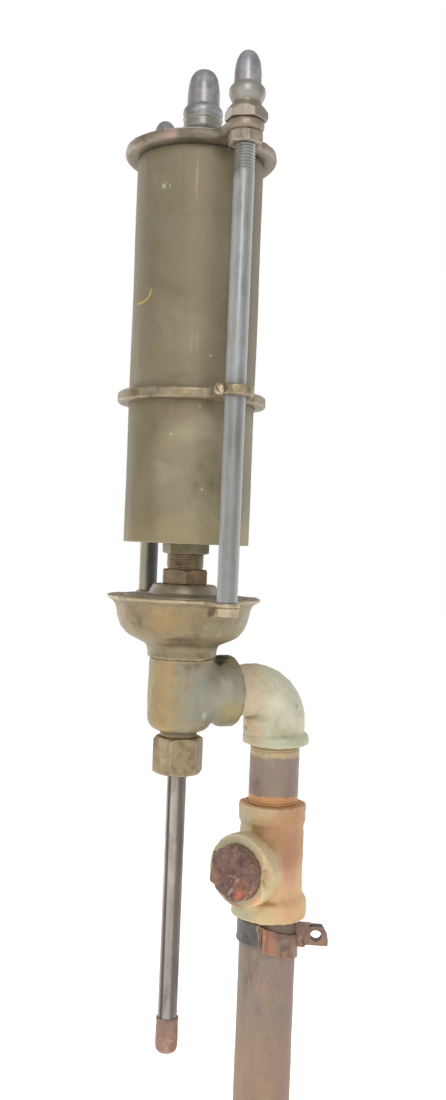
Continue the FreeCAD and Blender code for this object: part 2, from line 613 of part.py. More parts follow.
elbow_shank = turned("elbow_shank", [
    (0.0, bend), (dim.elbow_body, bend), (22.8, bend + 5.0), (21.6, bend + 11.0),
    (dim.nipple_radius, bend + 16.0), (dim.nipple_radius, dim.elbow_male - 1.0),
    (dim.nipple_radius - 1.0, dim.elbow_male), (0.0, dim.elbow_male)])
place(elbow_shank, rotation=FreeCAD.Rotation(Y_AXIS, -90))
elbow_socket = turned("elbow_socket", [
    (0.0, socket_low), (dim.elbow_band - 1.2, socket_low), (dim.elbow_band, socket_low + 1.2),
    (dim.elbow_band, socket_low + 8.0), (dim.elbow_band - 1.6, socket_low + 10.4),
    (dim.elbow_body, socket_low + 12.2), (dim.elbow_body, -bend), (0.0, -bend)])
# the casting is filled in at the throat of the bend
elbow_throat = cylinder("elbow_throat", 23.4, -36.0, -18.0, x=-6.0)
elbow_solid = fuse("elbow_solid", elbow_quarter("elbow_outside", dim.elbow_body),
                   elbow_shank, elbow_socket, elbow_throat)
elbow_hollows = fuse(
    "elbow_hollows", elbow_quarter("elbow_hollow", dim.nipple_bore),
    flat_cylinder("elbow_bore_side", dim.nipple_bore, 60.0, 180.0, 0.0, x=-bend),
    cylinder("elbow_bore_down", dim.nipple_bore, -60.0, -bend),
    cylinder("elbow_thread", nipple_thread, socket_low - 1.0, socket_low + dim.socket_deep))
piece(on_pipe(cut("pipe_elbow", elbow_solid, elbow_hollows), dim.branch_height))

# ---------------------------------------------------------------- nipple
END_GAP = 0.4  # left between a pipe end and the bottom of its socket
piece(on_pipe(sleeve(
    "pipe_nipple", dim.nipple_bore, dim.nipple_radius,
    dim.tee_top - dim.socket_deep + END_GAP,
    dim.branch_height - dim.elbow_drop + dim.socket_deep - END_GAP)))

# ---------------------------------------------------------------- tee and plug
TEE_TURN = dim.tee_branch_turn.number
branch_end = dim.tee_branch_face
tee_run = turned("tee_run", [
    (0.0, dim.tee_low), (dim.tee_band - 1.4, dim.tee_low), (dim.tee_band, dim.tee_low + 1.4),
    (dim.tee_band, dim.tee_low + 15.0), (dim.tee_band - 1.8, dim.tee_low + 18.0),
    (dim.tee_body, dim.tee_low + 21.0), (dim.tee_body, dim.tee_top - 24.0),
    (27.0, dim.tee_top - 16.4), (dim.tee_top_band - 1.0, dim.tee_top - 14.8),
    (dim.tee_top_band, dim.tee_top - 13.0), (dim.tee_top_band, dim.tee_top - 1.2),
    (dim.tee_top_band - 1.2, dim.tee_top), (0.0, dim.tee_top)])
tee_branch = turned("tee_branch", [
    (0.0, 0.0), (dim.tee_body, 0.0), (dim.tee_body, branch_end - 18.0),
    (dim.tee_branch_band - 1.2, branch_end - 15.5), (dim.tee_branch_band, branch_end - 13.0),
    (dim.tee_branch_band, branch_end - 1.4), (dim.tee_branch_band - 1.4, branch_end),
    (0.0, branch_end)])
place(tee_branch, z=dim.tee_branch_height, rotation=lying(TEE_TURN))
side_thread_x, side_thread_y = radial_point(branch_end - dim.socket_deep, 0.0, TEE_TURN)
tee_hollows = fuse(
    "tee_hollows",
    cylinder("tee_way", dim.nipple_bore, dim.tee_low + 5.0, dim.tee_top + 1.0),
    cylinder("tee_low_thread", dim.supply_radius + dim.thread_play, dim.tee_low - 1.0,
             dim.tee_low + dim.socket_deep),
    cylinder("tee_top_thread", nipple_thread, dim.tee_top - dim.socket_deep, dim.tee_top + 1.0),
    flat_cylinder("tee_side_thread", dim.plug_radius + dim.thread_play, 30.0, TEE_TURN,
                  dim.tee_branch_height, side_thread_x, side_thread_y),
    flat_cylinder("tee_side_way", 19.0, branch_end, TEE_TURN, dim.tee_branch_height))
piece(on_pipe(cut("pipe_tee", fuse("tee_solid", tee_run, tee_branch), tee_hollows)))

plug_low = branch_end - 16.0
plug_high = branch_end + dim.plug_out
tee_plug = turned("tee_plug", [
    (0.0, plug_low), (dim.plug_radius - 0.8, plug_low), (dim.plug_radius, plug_low + 0.8),
    (dim.plug_radius, plug_high - 2.6), (dim.plug_radius - 2.0, plug_high - 0.6),
    (14.0, plug_high), (0.0, plug_high)])
piece(on_pipe(tee_plug, dim.tee_branch_height, lying(TEE_TURN)))

# ---------------------------------------------------------------- supply pipe
supply_low = -dim.rim_height
supply_high = dim.tee_low + dim.socket_deep - END_GAP
piece(on_pipe(turned("supply_pipe", [
    (dim.supply_bore, supply_low), (dim.supply_thread, supply_low),
    (dim.supply_thread, supply_low + 20.0), (dim.supply_radius, supply_low + 20.6),
    (dim.supply_radius, supply_high), (dim.supply_bore, supply_high)])))

# ---------------------------------------------------------------- pipe clamp below the tee
EAR_TURN = dim.ear_turn.number
EAR_HALF_GAP = 3.0  # from the radial line to each ear
STRAP_MARGIN = 3.0  # degrees from the ear line to each strap's end
FRONT_START = 229.8  # degrees, where the front strap begins
FRONT_LEAN = 18.8  # degrees the front strap drops towards the ears
KEEP_RADIUS = 40.0
SLANT_SIDE = 120.0
clamp_inner = dim.supply_radius + dim.clamp_gap
clamp_outer = clamp_inner + dim.clamp_thick
clamp_low = dim.clamp_top - dim.clamp_wide
front_low = clamp_low - 16.0


def clamp_strap(name, low, start, sweep, *limits):
    """Arc of a ring round the pipe, kept where it also lies within `limits`."""
    ring = sleeve(name + "_ring", clamp_inner, clamp_outer, low, dim.clamp_top)
    keep = wedge(name + "_keep", start, sweep, KEEP_RADIUS, low - 1, dim.clamp_top + 1)
    return common(name + "_strap", ring, keep, *limits)


def clamp_half(name, strap, ear_offset, space_low):
    """Strap with its flat radial ear, cleared for the pipe and drilled square to the ear."""
    ear = radial_box(name + "_ear", 22.0, dim.ear_reach, ear_offset, dim.clamp_thick,
                     dim.ear_low, dim.ear_top, EAR_TURN)
    space = cylinder(name + "_space", clamp_inner, space_low, dim.clamp_top + 2)
    hole_x, hole_y = radial_point(41.0, -15.0, EAR_TURN)
    hole = flat_cylinder(name + "_hole", dim.ear_hole, 30.0, EAR_TURN + 90.0,
                         dim.ear_hole_height, hole_x, hole_y)
    piece(on_pipe(cut(name, fuse(name + "_solid", strap, ear),
                      fuse(name + "_cut", space, hole))))


clamp_half("clamp_band", clamp_strap("clamp_band", clamp_low, EAR_TURN + STRAP_MARGIN, 254.0),
           EAR_HALF_GAP, clamp_low - 14)

# The front strap is what a slab, centred on the pipe and dropping towards the ears,
# leaves of its ring.
slab = primitive("Box", "clamp_front_slab", Length=SLANT_SIDE, Width=SLANT_SIDE,
                 Height=dim.front_strap_wide)
lean = about_z(EAR_TURN).multiply(FreeCAD.Rotation(Y_AXIS, FRONT_LEAN))
slab_centre = lean.multVec(FreeCAD.Vector(SLANT_SIDE / 2, SLANT_SIDE / 2,
                                          dim.front_strap_wide.number / 2))
place(slab, -slab_centre.x, -slab_centre.y, dim.front_strap_height - slab_centre.z, lean)
front_strap = clamp_strap("clamp_front", front_low, FRONT_START,
                          EAR_TURN - STRAP_MARGIN - FRONT_START, slab)
clamp_half("clamp_front", front_strap, -(dim.clamp_thick + EAR_HALF_GAP), front_low - 2)

# ---------------------------------------------------------------- check and write
doc.recompute()
bad = []
for obj in doc.Objects:
    if "Invalid" in obj.State or "Error" in obj.State:
        bad.append("%s: %s" % (obj.Label, obj.State))
for obj in PIECES:
    shape = obj.Shape
    if shape.isNull() or not shape.isValid() or not shape.Solids:
        bad.append("%s: shape not usable" % obj.Label)
if bad:
    raise RuntimeError("failed objects: " + "; ".join(bad))

os.makedirs("parts", exist_ok=True)
for obj in PIECES:
    obj.Shape.exportStep(os.path.join("parts", obj.Label + ".step"))
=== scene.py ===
"""A brass steam whistle with its supply pipe, set up for a still picture.

Metres, +Z up, floor at Z = 0. The whistle stands upright on the axis X = -90 mm, Y = 0. Its
supply pipe stands on the Z axis and feeds it through a tee, a nipple and an elbow. Two tie rods
stand at Y = +-82.4 mm from the whistle axis. The camera looks towards +X +Y, so the rod at -Y is
the near one.
"""
import bpy
import math
import numpy as np
from mathutils import Matrix, Vector


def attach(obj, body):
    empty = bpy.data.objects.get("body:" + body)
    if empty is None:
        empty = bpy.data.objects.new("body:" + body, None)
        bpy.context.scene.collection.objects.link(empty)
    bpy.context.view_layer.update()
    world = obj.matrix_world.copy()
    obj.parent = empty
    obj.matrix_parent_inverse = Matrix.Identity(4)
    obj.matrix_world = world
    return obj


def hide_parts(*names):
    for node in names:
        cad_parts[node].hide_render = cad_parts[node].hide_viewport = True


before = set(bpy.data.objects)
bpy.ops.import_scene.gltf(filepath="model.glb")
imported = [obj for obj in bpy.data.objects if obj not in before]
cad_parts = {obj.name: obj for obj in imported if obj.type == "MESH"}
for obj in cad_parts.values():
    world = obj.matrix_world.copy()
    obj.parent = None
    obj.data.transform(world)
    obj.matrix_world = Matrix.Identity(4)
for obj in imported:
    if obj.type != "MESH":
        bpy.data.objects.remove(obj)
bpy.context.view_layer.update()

COARSE = 1.0

# Shapes are in millimetres, heights counted from the bowl rim; make() turns them into metres.
RIM_Z = 480.0               # bowl rim above the floor
WHISTLE_X = -90.0
ROD_Y = 82.4                # tie rods either side of the whistle
WHISTLE = (WHISTLE_X, 0.0, RIM_Z)
NEAR_ROD = (WHISTLE_X, -ROD_Y, RIM_Z)
PIPE = (0.0, 0.0, RIM_Z)

FIT = 0.05                  # clearance between mating parts
BELL_R = 51.0
CAP_TOP = 360.6
ROD_R = 7.94
SCREW_Z = 159.3             # set screws in the bell ring
SCREW_TURN = math.radians(194.0)
BRANCH_Z = -78.3            # axis of the whistle's side branch and the elbow
TEE_Z = -224.5              # axis of the tee's branch
TEE_TURN = math.radians(207.5)
WATERWAY_R = 17.5
NIPPLE_R = 21.08
NIPPLE_SOCKET_R = NIPPLE_R + FIT
PIPE_R = 24.13
PIPE_PITCH = 2.2            # thread pitch of the iron pipework
STRAP_BORE_R = 24.28
STRAP_DIMPLE = (273.6, -288.8)      # polar angle in degrees and height, front clamp strap


# ------------------------------------------------------------------ shape toolkit
class Waves:
    """Smooth random field: `count` plane waves with lengths from `short` to `long`."""

    def __init__(self, seed, short, long, count=26):
        draw = np.random.RandomState(seed)
        heading = draw.normal(size=(count, 3))
        heading /= np.linalg.norm(heading, axis=1)[:, None]
        length = np.exp(draw.uniform(np.log(short), np.log(long), count))
        self.number = heading * (2 * np.pi / length)[:, None]
        self.phase = draw.uniform(0, 2 * np.pi, count)
        self.height = np.sqrt(2.0 / count) * (length / length.max()) ** 0.5

    def __call__(self, x, y, z):
        out = np.zeros(np.broadcast(x, y, z).shape)
        for number, phase, height in zip(self.number, self.phase, self.height):
            out += height * np.sin(x * number[0] + y * number[1] + z * number[2] + phase)
        return out


def relief(*layers):
    """Skin made of (depth, waves) layers."""
    return lambda x, y, z: sum(depth * waves(x, y, z) for depth, waves in layers)


def smin(a, b, blend):
    """Union of two distances, rounded over `blend`."""
    h = np.clip(0.5 + 0.5 * (b - a) / blend, 0.0, 1.0)
    return b + (a - b) * h - blend * h * (1 - h)


def smax(a, b, blend):
    return -smin(-a, -b, blend)


def curve(points, steps=6):
    """Closed outline. Points with a third entry are corners; the rest join in a smooth curve."""
    pts = np.array([p[:2] for p in points], float)
    corner = [len(p) > 2 for p in points]
    count, out = len(pts), []
    for i in range(count):
        j = (i + 1) % count
        a, b = pts[i], pts[j]
        if corner[i] and corner[j]:
            out.append(a)
            continue
        length = np.linalg.norm(b - a)

        def tangent(m):
            if corner[m]:
                return b - a
            t = pts[(m + 1) % count] - pts[(m - 1) % count]
            return t / (np.linalg.norm(t) + 1e-9) * length
        ta, tb = tangent(i), tangent(j)
        for s in np.arange(steps) / steps:
            out.append((2 * s**3 - 3 * s**2 + 1) * a + (s**3 - 2 * s**2 + s) * ta
                       + (3 * s**2 - 2 * s**3) * b + (s**3 - s**2) * tb)
    return np.array(out)


def section(points, step=0.3, blur=0.0, pad=6.0):
    """Signed distance to a closed (radius, height) outline, as a function of both.

    `step` is the grid it is stored on, `blur` softens it, `pad` is the margin round it.
    """
    pts = np.asarray(points, float)
    lo, hi = pts.min(0) - pad, pts.max(0) + pad
    radii, heights = np.arange(lo[0], hi[0] + step, step), np.arange(lo[1], hi[1] + step, step)
    gr, gz = np.meshgrid(radii, heights, indexing="ij")
    best = np.full(gr.shape, 1e9)
    inside = np.zeros(gr.shape, bool)
    for a, b in zip(pts, np.roll(pts, -1, axis=0)):
        e = b - a
        t = np.clip(((gr - a[0]) * e[0] + (gz - a[1]) * e[1]) / (e @ e + 1e-12), 0, 1)
        best = np.minimum(best, np.hypot(gr - a[0] - t * e[0], gz - a[1] - t * e[1]))
        if a[1] != b[1]:
            crosses = (gz >= min(a[1], b[1])) & (gz < max(a[1], b[1]))
            inside ^= crosses & (gr < a[0] + (gz - a[1]) * e[0] / e[1])
    field = np.where(inside, -best, best)
    if blur > 0:
        half = int(math.ceil(3 * blur / step))
        weights = np.exp(-0.5 * (np.arange(-half, half + 1) * step / blur) ** 2)
        weights /= weights.sum()
        for axis in (0, 1):
            margin = [(half, half) if other == axis else (0, 0) for other in (0, 1)]
            padded = np.pad(field, margin, mode="edge")
            n = field.shape[axis]
            field = sum(w * (padded[i:i + n, :] if axis == 0 else padded[:, i:i + n])
                        for i, w in enumerate(weights))
    nr, nz = field.shape

    def look(r, z):
        u, v = (r - lo[0]) / step, (z - lo[1]) / step
        uc, vc = np.clip(u, 0, nr - 1.001), np.clip(v, 0, nz - 1.001)
        i, j = uc.astype(int), vc.astype(int)
        fu, fv = uc - i, vc - j
        value = ((field[i, j] * (1 - fu) + field[i + 1, j] * fu) * (1 - fv)
                 + (field[i, j + 1] * (1 - fu) + field[i + 1, j + 1] * fu) * fv)
        return value + np.hypot(u - uc, v - vc) * step
    return look


def hexa(x, y, flat, turn):
    """Distance to a hexagon with corners at `turn` degrees, `flat` from its centre to a side."""
    out = np.full(np.broadcast(x, y).shape, -1e9)
    for i in range(3):
        a = math.radians(turn + 30 + 60 * i)
        out = np.maximum(out, np.abs(x * math.cos(a) + y * math.sin(a)) - flat)
    return out


def segment(x, y, z, start, end, start_r, end_r):
    """Distance to a rounded bar whose radius changes from one end to the other."""
    a, b = np.array(start, float), np.array(end, float)
    e = b - a
    t = np.clip(((x - a[0]) * e[0] + (y - a[1]) * e[1] + (z - a[2]) * e[2]) / (e @ e), 0, 1)
    gap = (x - a[0] - t * e[0])**2 + (y - a[1] - t * e[1])**2 + (z - a[2] - t * e[2])**2
    return np.sqrt(gap) - (start_r + (end_r - start_r) * t)


def nets(f, lo, hi, step, skin=None, pulls=3):
    """Surface nets: quads on f = 0 inside a box, each vertex then pulled onto f + skin = 0."""
    lo, hi, h = np.array(lo, float), np.array(hi, float), step * COARSE
    n = np.ceil((hi - lo) / h).astype(int) + 1
    xs, ys, zs = [lo[i] + np.arange(n[i]) * h for i in range(3)]
    v = np.empty(n, np.float32)
    for k in range(0, n[2], 24):
        x, y, z = np.meshgrid(xs, ys, zs[k:k + 24], indexing="ij")
        v[:, :, k:k + 24] = f(x, y, z)
    # an open box face would leave a hole, so the outermost layer counts as outside
    for axis in range(3):
        for end in (0, -1):
            v[tuple(end if ax == axis else slice(None) for ax in range(3))] = h
    neg = v < 0
    corners = [(a, b, d) for a in (0, 1) for b in (0, 1) for d in (0, 1)]
    inside = sum(neg[a:n[0] - 1 + a, b:n[1] - 1 + b, d:n[2] - 1 + d].astype(np.int8)
                 for a, b, d in corners)
    active = (inside > 0) & (inside < 8)
    idx = np.argwhere(active)
    total, hits = np.zeros((len(idx), 3)), np.zeros(len(idx))
    for a in corners:
        for axis in range(3):
            if a[axis]:
                continue
            b = tuple(1 if i == axis else a[i] for i in range(3))
            va = v[idx[:, 0] + a[0], idx[:, 1] + a[1], idx[:, 2] + a[2]].astype(float)
            vb = v[idx[:, 0] + b[0], idx[:, 1] + b[1], idx[:, 2] + b[2]].astype(float)
            cross = (va < 0) != (vb < 0)
            t = np.where(cross, va / np.where(va == vb, 1, va - vb), 0)
            p = np.array(a, float)[None] + np.eye(3)[axis][None] * t[:, None]
            total += p * cross[:, None]
            hits += cross
    pts = lo + (idx + total / np.maximum(hits, 1)[:, None]) * h
    ids = np.full(np.array(n) - 1, -1, np.int64)
    ids[active] = np.arange(len(idx))
    quads = []
    for axis in range(3):
        o1, o2 = (axis + 1) % 3, (axis + 2) % 3
        first, second = [slice(None)] * 3, [slice(None)] * 3
        first[axis], second[axis] = slice(0, -1), slice(1, None)
        na, nb = neg[tuple(first)], neg[tuple(second)]
        e = np.argwhere(na != nb)
        e = e[(e[:, o1] > 0) & (e[:, o2] > 0) & (e[:, o1] < n[o1] - 1) & (e[:, o2] < n[o2] - 1)]
        cells = []
        for s1, s2 in ((-1, -1), (0, -1), (0, 0), (-1, 0)):
            q = e.copy()
            q[:, o1] += s1
            q[:, o2] += s2
            cells.append(ids[q[:, 0], q[:, 1], q[:, 2]])
        q = np.stack(cells, 1)
        flip = ~na[e[:, 0], e[:, 1], e[:, 2]]
        q[flip] = q[flip][:, ::-1]
        quads.append(q)
    quads = np.concatenate(quads)
    g = (lambda x, y, z: f(x, y, z) + skin(x, y, z)) if skin else f
    eps = h * 0.35

    def pull(pts):
        x, y, z = pts.T
        value = g(x, y, z)
        grad = np.stack([g(x + eps, y, z) - g(x - eps, y, z), g(x, y + eps, z) - g(x, y - eps, z),
                         g(x, y, z + eps) - g(x, y, z - eps)], 1) / (2 * eps)
        move = -value[:, None] * grad / np.maximum((grad ** 2).sum(1), 0.25)[:, None]
        size = np.linalg.norm(move, axis=1)
        return pts + move * np.minimum(1.0, 0.6 * h / np.maximum(size, 1e-9))[:, None]

    for _ in range(pulls):
        pts = pull(pts)
    # one light relaxation keeps the quads even, then a last pull onto the surface
    near, count = np.zeros_like(pts), np.zeros(len(pts))
    for i in range(4):
        a, b = quads[:, i], quads[:, (i + 1) % 4]
        np.add.at(near, a, pts[b])
        np.add.at(near, b, pts[a])
        np.add.at(count, a, 1)
        np.add.at(count, b, 1)
    pts = pull(pts * 0.6 + near / count[:, None] * 0.4)
    return pts, quads, np.zeros((0, 3), int)


def dense(points, step):
    """Splits long sides of an open outline so that a mesh turned from it has even faces."""
    pts, out = np.asarray(points, float), []
    for a, b in zip(pts[:-1], pts[1:]):
        k = max(1, int(math.ceil(np.linalg.norm(b - a) / step)))
        out += [a + (b - a) * i / k for i in range(k)]
    return out + [pts[-1]]


def lathe(points, seg, swell, loop=False):
    """Turns an outline about Z; swell(r, z, angle) is added to the radius.

    With `loop` the last point joins the first; otherwise both ends lie on the axis.
    """
    pts = np.asarray(points, float)
    body = pts if loop else pts[1:-1]
    n = len(body)
    r = np.repeat(body[:, :1], seg, 1)
    z = np.repeat(body[:, 1:], seg, 1)
    t = np.repeat((np.arange(seg) / seg * 2 * np.pi)[None], n, 0)
    r = r + swell(r, z, t)
    verts = np.stack([r * np.cos(t), r * np.sin(t), z], 2).reshape(-1, 3)
    s = np.arange(seg)
    s1 = (s + 1) % seg
    rows = []
    for i in range(n if loop else n - 1):
        j = (i + 1) % n
        rows.append(np.stack([i * seg + s, i * seg + s1, j * seg + s1, j * seg + s], 1))
    tris = np.zeros((0, 3), int)
    if not loop:
        for ring, point, way in ((0, pts[0], -1), (n - 1, pts[-1], 1)):
            tri = np.stack([ring * seg + s, ring * seg + s1, np.full(seg, len(verts))], 1)
            verts = np.vstack([verts, [[0, 0, point[1]]]])
            tris = np.concatenate([tris, tri[:, ::way]])
    return verts, np.concatenate(rows), tris


def thread(pitch, depth, z0, z1, fade=1.5):
    """Radius change for a screw thread cut between two heights, running out at both ends."""
    def swell(r, z, t):
        phase = (z / pitch - t / (2 * np.pi)) % 1.0
        tooth = np.clip(np.abs(phase - 0.5) * 2.6 - 0.15, 0, 1)
        amount = np.clip((z - z0) / fade, 0, 1) * np.clip((z1 - z) / fade, 0, 1)
        return -depth * tooth * amount
    return swell


def shift(shape, offset):
    v, q, t = shape
    return v + np.asarray(offset, float), q, t


def rotate(shape, matrix):
    v, q, t = shape
    return v @ np.array(matrix).T, q, t


def pair(shape):
    """A shape and its mirror image across Y = 0."""
    v, q, t = shape
    n = len(v)
    return (np.concatenate([v, v * np.array((1.0, -1.0, 1.0))]),
            np.concatenate([q, q[:, ::-1] + n]), np.concatenate([t, t[:, ::-1] + n]))


def at_rods(shape, lift=0.0):
    return pair(shift(shape, (WHISTLE_X, -ROD_Y, RIM_Z + lift)))


def make(name, shape, node, finish, angle=None, body="root"):
    """Blender object from a shape in millimetres, standing for one CAD node.

    Edges sharper than `angle` degrees are marked sharp.
    """
    v, q, t = shape
    v = v * 0.001
    tri = np.concatenate([q[:, [0, 1, 2]], q[:, [0, 2, 3]], t])
    if np.einsum("ij,ij->i", v[tri[:, 0]], np.cross(v[tri[:, 1]], v[tri[:, 2]])).sum() < 0:
        q, t = q[:, ::-1], t[:, ::-1]
    mesh = bpy.data.meshes.new(name)
    mesh.vertices.add(len(v))
    mesh.vertices.foreach_set("co", v.astype(np.float32).ravel())
    loops = np.concatenate([q.ravel(), t.ravel()]).astype(np.int32)
    mesh.loops.add(len(loops))
    mesh.loops.foreach_set("vertex_index", loops)
    mesh.polygons.add(len(q) + len(t))
    starts = np.concatenate([np.arange(len(q)) * 4, len(q) * 4 + np.arange(len(t)) * 3])
    mesh.polygons.foreach_set("loop_start", starts.astype(np.int32))
    mesh.update(calc_edges=True)
    mesh.validate()
    mesh.shade_smooth()
    if angle:
        mesh.set_sharp_from_angle(angle=math.radians(angle))
    obj = bpy.data.objects.new(name, mesh)
    bpy.context.scene.collection.objects.link(obj)
    obj.data.materials.append(MATERIALS[finish])
    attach(obj, body)
    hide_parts(node)
    SLOT_OF.get(finish, finish)


# ------------------------------------------------------------------ material toolkit
MATERIALS = {}


def rgb(display):
    """Display colour 0-255 to linear RGBA."""
    channels = [c / 255.0 for c in display]
    return tuple(c / 12.92 if c <= 0.04045 else ((c + 0.055) / 1.055) ** 2.4
                 for c in channels) + (1.0,)


def at(x, y, z, axis=WHISTLE):
    """Millimetres from an upright axis and the bowl rim, as metres in the frame."""
    return tuple((v + o) * 0.001 for v, o in zip((x, y, z), axis))


def on_bell(polar, z):
    a = math.radians(polar)
    return at(BELL_R * math.cos(a), BELL_R * math.sin(a), z)


def on_pipe(polar, z, radius):
    a = math.radians(polar)
    return at(radius * math.cos(a), radius * math.sin(a), z, PIPE)


def above_rim(z):
    return (z + RIM_Z) * 0.001


class Finish:
    """One procedural material. All patterns are solid, in the piece's own coordinates.

    Colours are display RGB 0-255. Pattern sizes, heights, radii and soft edges are millimetres;
    coordinates and distances read from the shader are metres. `color` is the colour so far.
    """

    def __init__(self, name):
        material = bpy.data.materials.new(name)
        MATERIALS[name] = material
        material.use_nodes = True
        self.tree = material.node_tree
        self.tree.nodes.clear()
        out = self.node("OutputMaterial")
        self.shader = self.node("BsdfPrincipled")
        self.tree.links.new(self.shader.outputs[0], out.inputs[0])
        self.coords = self.node("TexCoord").outputs["Object"]
        self.normal = None

    def node(self, kind):
        return self.tree.nodes.new("ShaderNode" + kind)

    def put(self, socket, value):
        if isinstance(value, bpy.types.NodeSocket):
            self.tree.links.new(value, socket)
        else:
            socket.default_value = value

    def calc(self, op, first, second=0.0, clamp=False):
        n = self.node("Math")
        n.operation = op
        n.use_clamp = clamp
        for socket, value in zip(n.inputs, (first, second, 0.0)):
            self.put(socket, value)
        return n.outputs[0]

    def times(self, a, b):
        return self.calc("MULTIPLY", a, b, clamp=True)

    def less(self, value, mask, amount):
        return self.calc("SUBTRACT", value, self.calc("MULTIPLY", mask, amount))

    def vec(self, op, first, second=None):
        n = self.node("VectorMath")
        n.operation = op
        self.put(n.inputs[0], first)
        if second is not None:
            self.put(n.inputs["Scale" if op == "SCALE" else 1], second)
        return n.outputs["Value" if op in ("LENGTH", "DOT_PRODUCT") else "Vector"]

    def mapped(self, squeeze, shift=0.0):
        n = self.node("Mapping")
        n.inputs["Location"].default_value = (shift, shift * 1.7, shift * 0.6)
        n.inputs["Scale"].default_value = squeeze
        self.put(n.inputs["Vector"], self.coords)
        return n.outputs[0]

    def noise_node(self, size, detail, squeeze, shift=0.0):
        where = self.mapped(squeeze, shift)
        n = self.node("TexNoise")
        n.inputs["Scale"].default_value = 1000.0 / size
        n.inputs["Detail"].default_value = detail
        self.put(n.inputs["Vector"], where)
        return n

    def noise(self, size, detail=3.0, rough=0.55, squeeze=(1, 1, 1), shift=0.0, bend=0.0):
        """Noise with features about `size`; `squeeze` under 1 draws them out along an axis."""
        n = self.noise_node(size, detail, squeeze, shift)
        n.inputs["Roughness"].default_value = rough
        n.inputs["Distortion"].default_value = bend
        return n.outputs["Fac"]

    def warped(self, size, amount, squeeze=(1, 1, 1)):
        """Coordinates pushed about by `amount`, so that a mask's edge is ragged."""
        n = self.noise_node(size, 3.0, squeeze)
        push = self.vec("SUBTRACT", n.outputs["Color"], (0.5, 0.5, 0.5))
        return self.vec("ADD", self.coords, self.vec("SCALE", push, amount * 0.002))

    def cells(self, size, squeeze=(1, 1, 1)):
        where = self.mapped(squeeze)
        n = self.node("TexVoronoi")
        n.inputs["Scale"].default_value = 1000.0 / size
        self.put(n.inputs["Vector"], where)
        return n.outputs["Distance"]

    def fit(self, value, low, high, start, end):
        """Smooth step from `start` at `low` to `end` at `high`."""
        n = self.node("MapRange")
        n.interpolation_type = "SMOOTHSTEP"
        for name, v in (("Value", value), ("From Min", low), ("From Max", high),
                        ("To Min", start), ("To Max", end)):
            self.put(n.inputs[name], v)
        return n.outputs[0]

    def rise(self, value, low, high):
        return self.fit(value, low, high, 0.0, 1.0)

    def fall(self, value, low, high):
        return self.fit(value, low, high, 1.0, 0.0)

    def span(self, value, rising, falling):
        """1 between two values: up over the range `rising`, down over `falling`."""
        return self.times(self.rise(value, *rising), self.fall(value, *falling))

    def axis(self, index, coords=None):
        n = self.node("SeparateXYZ")
        self.put(n.inputs[0], coords or self.coords)
        return n.outputs[index]

    def side(self, coords=None, turn=-25.0):
        """Distance in metres to the camera's right of the Z axis."""
        a = math.radians(turn)
        return self.vec("DOT_PRODUCT", coords or self.coords, (math.cos(a), math.sin(a), 0.0))

    def band(self, low, high, soft, coords=None):
        """1 between two heights above the bowl rim."""
        z = self.axis(2, coords)
        rising = self.rise(z, above_rim(low - soft), above_rim(low + soft))
        falling = self.fall(z, above_rim(high - soft), above_rim(high + soft))
        return self.calc("MULTIPLY", rising, falling)

    def spot(self, point, radius, soft, coords):
        """1 near a point, fading over `soft`."""
        away = self.vec("MULTIPLY", self.vec("SUBTRACT", coords, point), (1, 1, 1))
        return self.fall(self.vec("LENGTH", away), (radius - soft) * 0.001, radius * 0.001)

    def line(self, a, b, width, soft, coords):
        """1 near the straight line between two points."""
        ab = tuple(q - p for p, q in zip(a, b))
        rel = self.vec("SUBTRACT", coords, a)
        along = self.vec("DOT_PRODUCT", rel, ab)
        t = self.calc("DIVIDE", along, sum(v * v for v in ab), clamp=True)
        foot = self.vec("SCALE", ab, t)
        gap = self.vec("LENGTH", self.vec("SUBTRACT", rel, foot))
        return self.fall(gap, (width - soft) * 0.001, width * 0.001)

    def flecks(self, size, core, patch, over, detail, shift=0.0, squeeze=(1, 1, 1)):
        """Spots `size` apart, fading over the range `core`, kept where noise of size `patch`
        passes the range `over`."""
        dots = self.fall(self.cells(size, squeeze), *core)
        return self.times(dots, self.rise(self.noise(patch, detail, shift=shift), *over))

    def edges(self, low, high):
        return self.rise(self.node("NewGeometry").outputs["Pointiness"], low, high)

    def hollows(self, low, high):
        return self.fall(self.node("NewGeometry").outputs["Pointiness"], low, high)

    def ramp(self, field, places, colors):
        """Starts the colour from a field."""
        n = self.node("ValToRGB")
        n.color_ramp.interpolation = "EASE"
        while len(n.color_ramp.elements) < len(places):
            n.color_ramp.elements.new(0.5)
        for element, place, color in zip(n.color_ramp.elements, places, colors):
            element.position, element.color = place, rgb(color)
        self.put(n.inputs[0], field)
        self.color = n.outputs[0]

    def ground(self, clouds, places, colors):
        """Starts the colour from a cloudy field, which clouded() reads again."""
        self.clouds = clouds
        self.ramp(clouds, places, colors)

    def clouded(self, low, high):
        """Value between two limits, following the clouds of the ground colour."""
        return self.fit(self.clouds, 0.3, 0.7, low, high)

    def lay(self, color, strength, mask, clamp=False):
        """Lays a colour over the one so far, `strength` opaque where the mask is 1."""
        amount = self.calc("MULTIPLY", mask, strength, clamp=clamp)
        n = self.node("Mix")
        n.data_type = "RGBA"
        for index, value in ((0, amount), (6, self.color), (7, rgb(color))):
            self.put(n.inputs[index], value)
        self.color = n.outputs[2]

    def dabs(self, coords, *rows):
        """Round dabs from rows of (point, radius, soft edge, strength, colour)."""
        for point, radius, soft, strength, color in rows:
            self.lay(color, strength, self.spot(point, radius, soft, coords), clamp=True)

    def patches(self, color, strength, over, **noise):
        """Lays a colour where noise passes the range `over`."""
        self.lay(color, strength, self.rise(self.noise(**noise), *over))

    def wear(self, color, strength, edges, size, over, shift):
        """Lays a colour on edges (a pointiness range) broken up by noise; gives the mask."""
        patchy = self.rise(self.noise(size, detail=2, shift=shift), *over)
        mask = self.times(self.edges(*edges), patchy)
        self.lay(color, strength, mask)
        return mask

